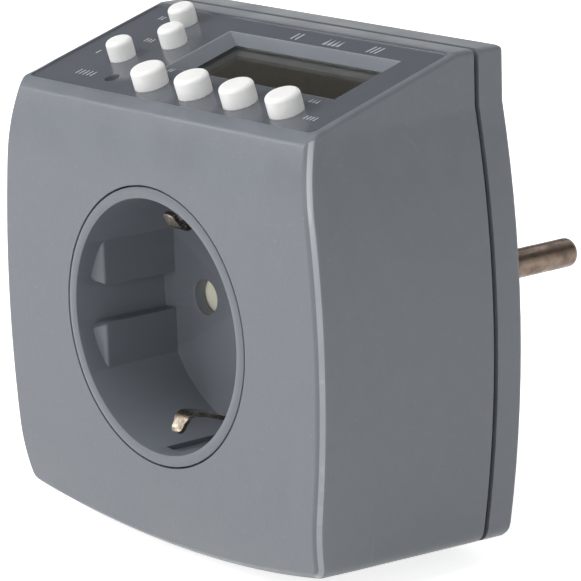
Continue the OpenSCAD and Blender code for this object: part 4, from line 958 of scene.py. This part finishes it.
def make_clip(up):
    """Clip as a bar of four sides along its path."""
    path = clip_path()
    points = []
    for i, (y, z, half) in enumerate(path):
        before, after = Vector(path[max(i - 1, 0)][:2]), Vector(path[min(i + 1, len(path) - 1)][:2])
        way = (after - before).normalized()
        back = (y - way.y * CLIP_T, z + way.x * CLIP_T)
        for side, spot in ((-1, (y, z)), (1, (y, z)), (1, back), (-1, back)):
            points.append(at(side * half, spot[0], up * spot[1]))
    faces = [(0, 1, 2, 3), tuple(4 * len(path) - 4 + k for k in (3, 2, 1, 0))]
    for i in range(len(path) - 1):
        faces += [(4 * i + k, 4 * i + 4 + k, 4 * i + 4 + (k + 1) % 4, 4 * i + (k + 1) % 4) for k in range(4)]
    return solid("clip", points, faces, "nickel")


def make_clips():
    """Both clips on the bracket's bar behind the well."""
    reach = CLIP_SLOT_Z + CLIP_T - 0.01
    clips = box("earth_clips", (-BRACKET_HALF, BRACKET_Y - 0.02, -reach), (BRACKET_HALF, BRACKET_Y + CLIP_T, reach),
                "nickel")
    for up in (1, -1):
        cut(clips, make_clip(up), "UNION")
    rounded(clips, 0.14, 3, 40.0)
    outward(clips.data)
    stands_for(clips, "socket_earth_bracket")


make_well()
make_clips()


# ---- Buttons --------------------------------------------------------
def make_key(node, x, v, r):
    """Push button: a stem and a flange below the panel, and a cap with a round top edge."""
    edge = 0.75
    profile = [(0, -KEY_STEM_END), (r - 1.3, -KEY_STEM_END), (r - 1.1, -KEY_STEM_END + 0.2),
               (r - 1.1, -KEY_UNDER - 0.7), (r + 0.8, -KEY_UNDER - 0.7), (r + 0.9, -KEY_UNDER - 0.6),
               (r + 0.9, -KEY_UNDER), (r, -KEY_UNDER)]
    for k in range(9):
        turn = math.radians(90 * k / 8)
        profile.append((r - edge + edge * math.cos(turn), KEY_H - edge + edge * math.sin(turn)))
    profile += [(0, KEY_H)]
    stands_for(turned(node + "_cap", profile, "key", on_panel(x, v), 72, angle=40.0), node, node)


def make_reset_key():
    """Recessed button with a small hollow for a pen's tip."""
    r, top = RESET_R - KEY_GAP, -RESET_DEPTH
    profile = [(0, -4.7), (0.7, -4.7), (0.7, -KEY_UNDER - 0.7), (r + 0.8, -KEY_UNDER - 0.7), (r + 0.8, -KEY_UNDER),
               (r, -KEY_UNDER), (r, top - 0.3), (r - 0.1, top - 0.1), (r - 0.35, top), (0.5, top),
               (0.3, top - 0.12), (0, top - 0.15)]
    stands_for(turned("reset_cap", profile, "key", on_panel(RESET_X, RESET_V), 40), "reset_button", "reset_button")


for key_node, key_place in KEYS.items():
    make_key(key_node, *key_place)
make_reset_key()


# ---- Printed marks on the panel -------------------------------------
PRINT_OUT, PRINT_T = -STEP + 0.015, 0.025


def print_row(x, v, outline, count, step):
    """Row of equal printed marks along the panel, each a thin closed plate."""
    points = [(a, b, out) for out in (0, PRINT_T) for a, b in outline]
    faces = band_faces(len(outline)) + end_faces(len(outline))
    return form("mark", ROW, "print", on_panel(x, v, PRINT_OUT), points, faces, Count=count, Step=(step, 0.0, 0.0))


def tick(width, height, lean=0.0):
    return [(0, 0), (width, 0), (width + lean, height), (lean, height)]


def make_print():
    """Rows of plain marks beside the keys and above the window."""
    marks = [
        print_row(1.6, 26.1, tick(0.38, 2.0), 2, 1.1),
        print_row(9.2, 26.1, [(0, 0), (0.75, 0), (0.375, 2.0)], 4, 1.05),
        print_row(19.4, 26.1, tick(0.38, 2.0, 0.3), 3, 0.95),
        print_row(-30.4, 24.9, tick(0.34, 1.1), 2, 0.8),
        print_row(-25.3, 17.7, tick(0.34, 1.1), 3, 0.8),
        print_row(-30.4, 11.7, tick(0.34, 1.1), 1, 0.8),
        print_row(-27.2, 4.9, tick(0.32, 1.5), 5, 0.95),
        print_row(-10.4, 10.4, tick(0.3, 1.0, 0.2), 2, 0.7),
        print_row(24.6, 9.6, [(0, 0), (0.5, 0), (0.25, 1.1)], 3, 0.8),
        print_row(28.7, 4.9, tick(0.3, 1.1), 4, 0.75),
    ]
    print_piece = joined("panel_print", marks)
    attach(print_piece, "housing")


make_print()

# ---- Finishes for the CAD nodes that stay ---------------------------
for node_name, node_object in NODES.items():
    if node_object.hide_render:
        continue
    materials = node_object.data.materials
    if len(materials) == 0:
        materials.append(None)
    for slot_number in range(len(materials)):
        materials[slot_number] = FINISH[slot_of(node_name)]

# ---- Floor, light and camera ----------------------------------------
FLOOR_HALF, FLOOR_GLOW = 4.0, 0.78
AMBIENT, SKY_TOP, SKY_RIM = 0.2, 0.12, 0.9
AZIMUTH, ELEVATION, ROLL = 50.743, 13.734, -1.721
LENS, CAMERA_DISTANCE, LOOKED_AT = 225.82, 0.56203, (8.774, 20.0, 3.774)


def in_sight(tree, path):
    """1 for rays that come straight from the camera, also through clear pieces."""
    turned_back = calc(tree, "ADD", path["Diffuse Depth"], path["Glossy Depth"])
    through = calc(tree, "MULTIPLY", path["Is Transmission Ray"], calc(tree, "LESS_THAN", turned_back, 0.5))
    return calc(tree, "MAXIMUM", path["Is Camera Ray"], through)


def make_floor():
    """Pale floor that shows white to the camera and keeps the object's shadow."""
    corners = ((-1, -1), (1, -1), (1, 1), (-1, 1))
    mesh = mesh_of("floor", [(x * FLOOR_HALF, y * FLOOR_HALF, cad_low.z) for x, y in corners], [(0, 1, 2, 3)])
    made, tree, shader = start_material("pale floor", Base_Color=(0.82, 0.82, 0.82, 1), Roughness=0.9,
                                        Specular_IOR_Level=0.1, Emission_Color=(1, 1, 1, 1))
    path = add(tree, "ShaderNodeLightPath").outputs
    seen = calc(tree, "MAXIMUM", in_sight(tree, path), path["Is Glossy Ray"])
    feed(tree, shader.inputs, Emission_Strength=product(tree, seen, FLOOR_GLOW))
    mesh.materials.append(made)
    link("floor", mesh)


def make_world():
    """White where it is seen, dim where it lights, and brighter low down where it is mirrored."""
    world = bpy.data.worlds.new("studio")
    SCENE.world = world
    world.use_nodes = True
    tree = world.node_tree
    tree.nodes.clear()
    path = add(tree, "ShaderNodeLightPath").outputs
    way = add(tree, "ShaderNodeTexCoord").outputs["Generated"]
    up = add(tree, "ShaderNodeSeparateXYZ", {0: way}).outputs["Z"]
    mirrored = calc(tree, "SUBTRACT", spread_map(tree, up, 0.2, 0.45, SKY_RIM, SKY_TOP), AMBIENT)
    level = calc(tree, "ADD", product(tree, path["Is Glossy Ray"], mirrored), AMBIENT)
    strength = calc(tree, "MAXIMUM", in_sight(tree, path), level)
    back = add(tree, "ShaderNodeBackground", {"Color": (1, 1, 1, 1), "Strength": strength}).outputs[0]
    out = tree.nodes.new("ShaderNodeOutputWorld")
    tree.links.new(back, out.inputs["Surface"])


def direction(azimuth, elevation):
    """Way from the object to a place seen at these angles in degrees."""
    a, e = math.radians(azimuth), math.radians(elevation)
    return Vector((math.sin(a) * math.cos(e), -math.cos(a) * math.cos(e), math.sin(e)))


def make_lamp(name, azimuth, elevation, distance, size, power, height=None):
    """Soft lamp that looks at the middle of the object: a square, or a strip of the given height."""
    data = bpy.data.lights.new(name, "AREA")
    data.shape, data.size, data.size_y, data.energy = "RECTANGLE", size, height or size, power
    lamp = bpy.data.objects.new(name, data)
    SCENE.collection.objects.link(lamp)
    back = direction(azimuth, elevation)
    lamp.location = (cad_low + cad_high) / 2 + back * distance
    lamp.rotation_mode = "QUATERNION"
    lamp.rotation_quaternion = back.to_track_quat("Z", "Y")


def make_camera():
    """Camera at the photo's angle, with its small roll."""
    back, roll = direction(AZIMUTH, ELEVATION), math.radians(ROLL)
    across = (-back).cross(Vector((0, 0, 1))).normalized()
    up = across.cross(-back)
    right = across * math.cos(roll) + up * math.sin(roll)
    top = up * math.cos(roll) - across * math.sin(roll)
    data = bpy.data.cameras.new("camera")
    data.sensor_width, data.lens = 36.0, LENS
    data.clip_start, data.clip_end = 0.05, 20.0
    camera = bpy.data.objects.new("camera", data)
    SCENE.collection.objects.link(camera)
    turn = Matrix((right, top, back)).transposed().to_4x4()
    camera.matrix_world = Matrix.Translation(at(*LOOKED_AT) + back * CAMERA_DISTANCE) @ turn
    SCENE.camera = camera


make_floor()
make_world()
make_lamp("key lamp", -38, 32, 0.9, 0.55, 4.4)
make_lamp("front lamp", 12, 10, 1.0, 0.4, 1.3)
make_lamp("edge lamp", 39, 12, 0.9, 0.08, 1.0, height=0.45)
make_lamp("right lamp", 95, 25, 1.1, 0.6, 0.8)
make_lamp("back lamp", 190, 35, 1.1, 0.7, 2.0)
make_lamp("top lamp", 20, 80, 0.9, 0.7, 2.8)
make_camera()
SCENE.view_settings.view_transform = "Standard"
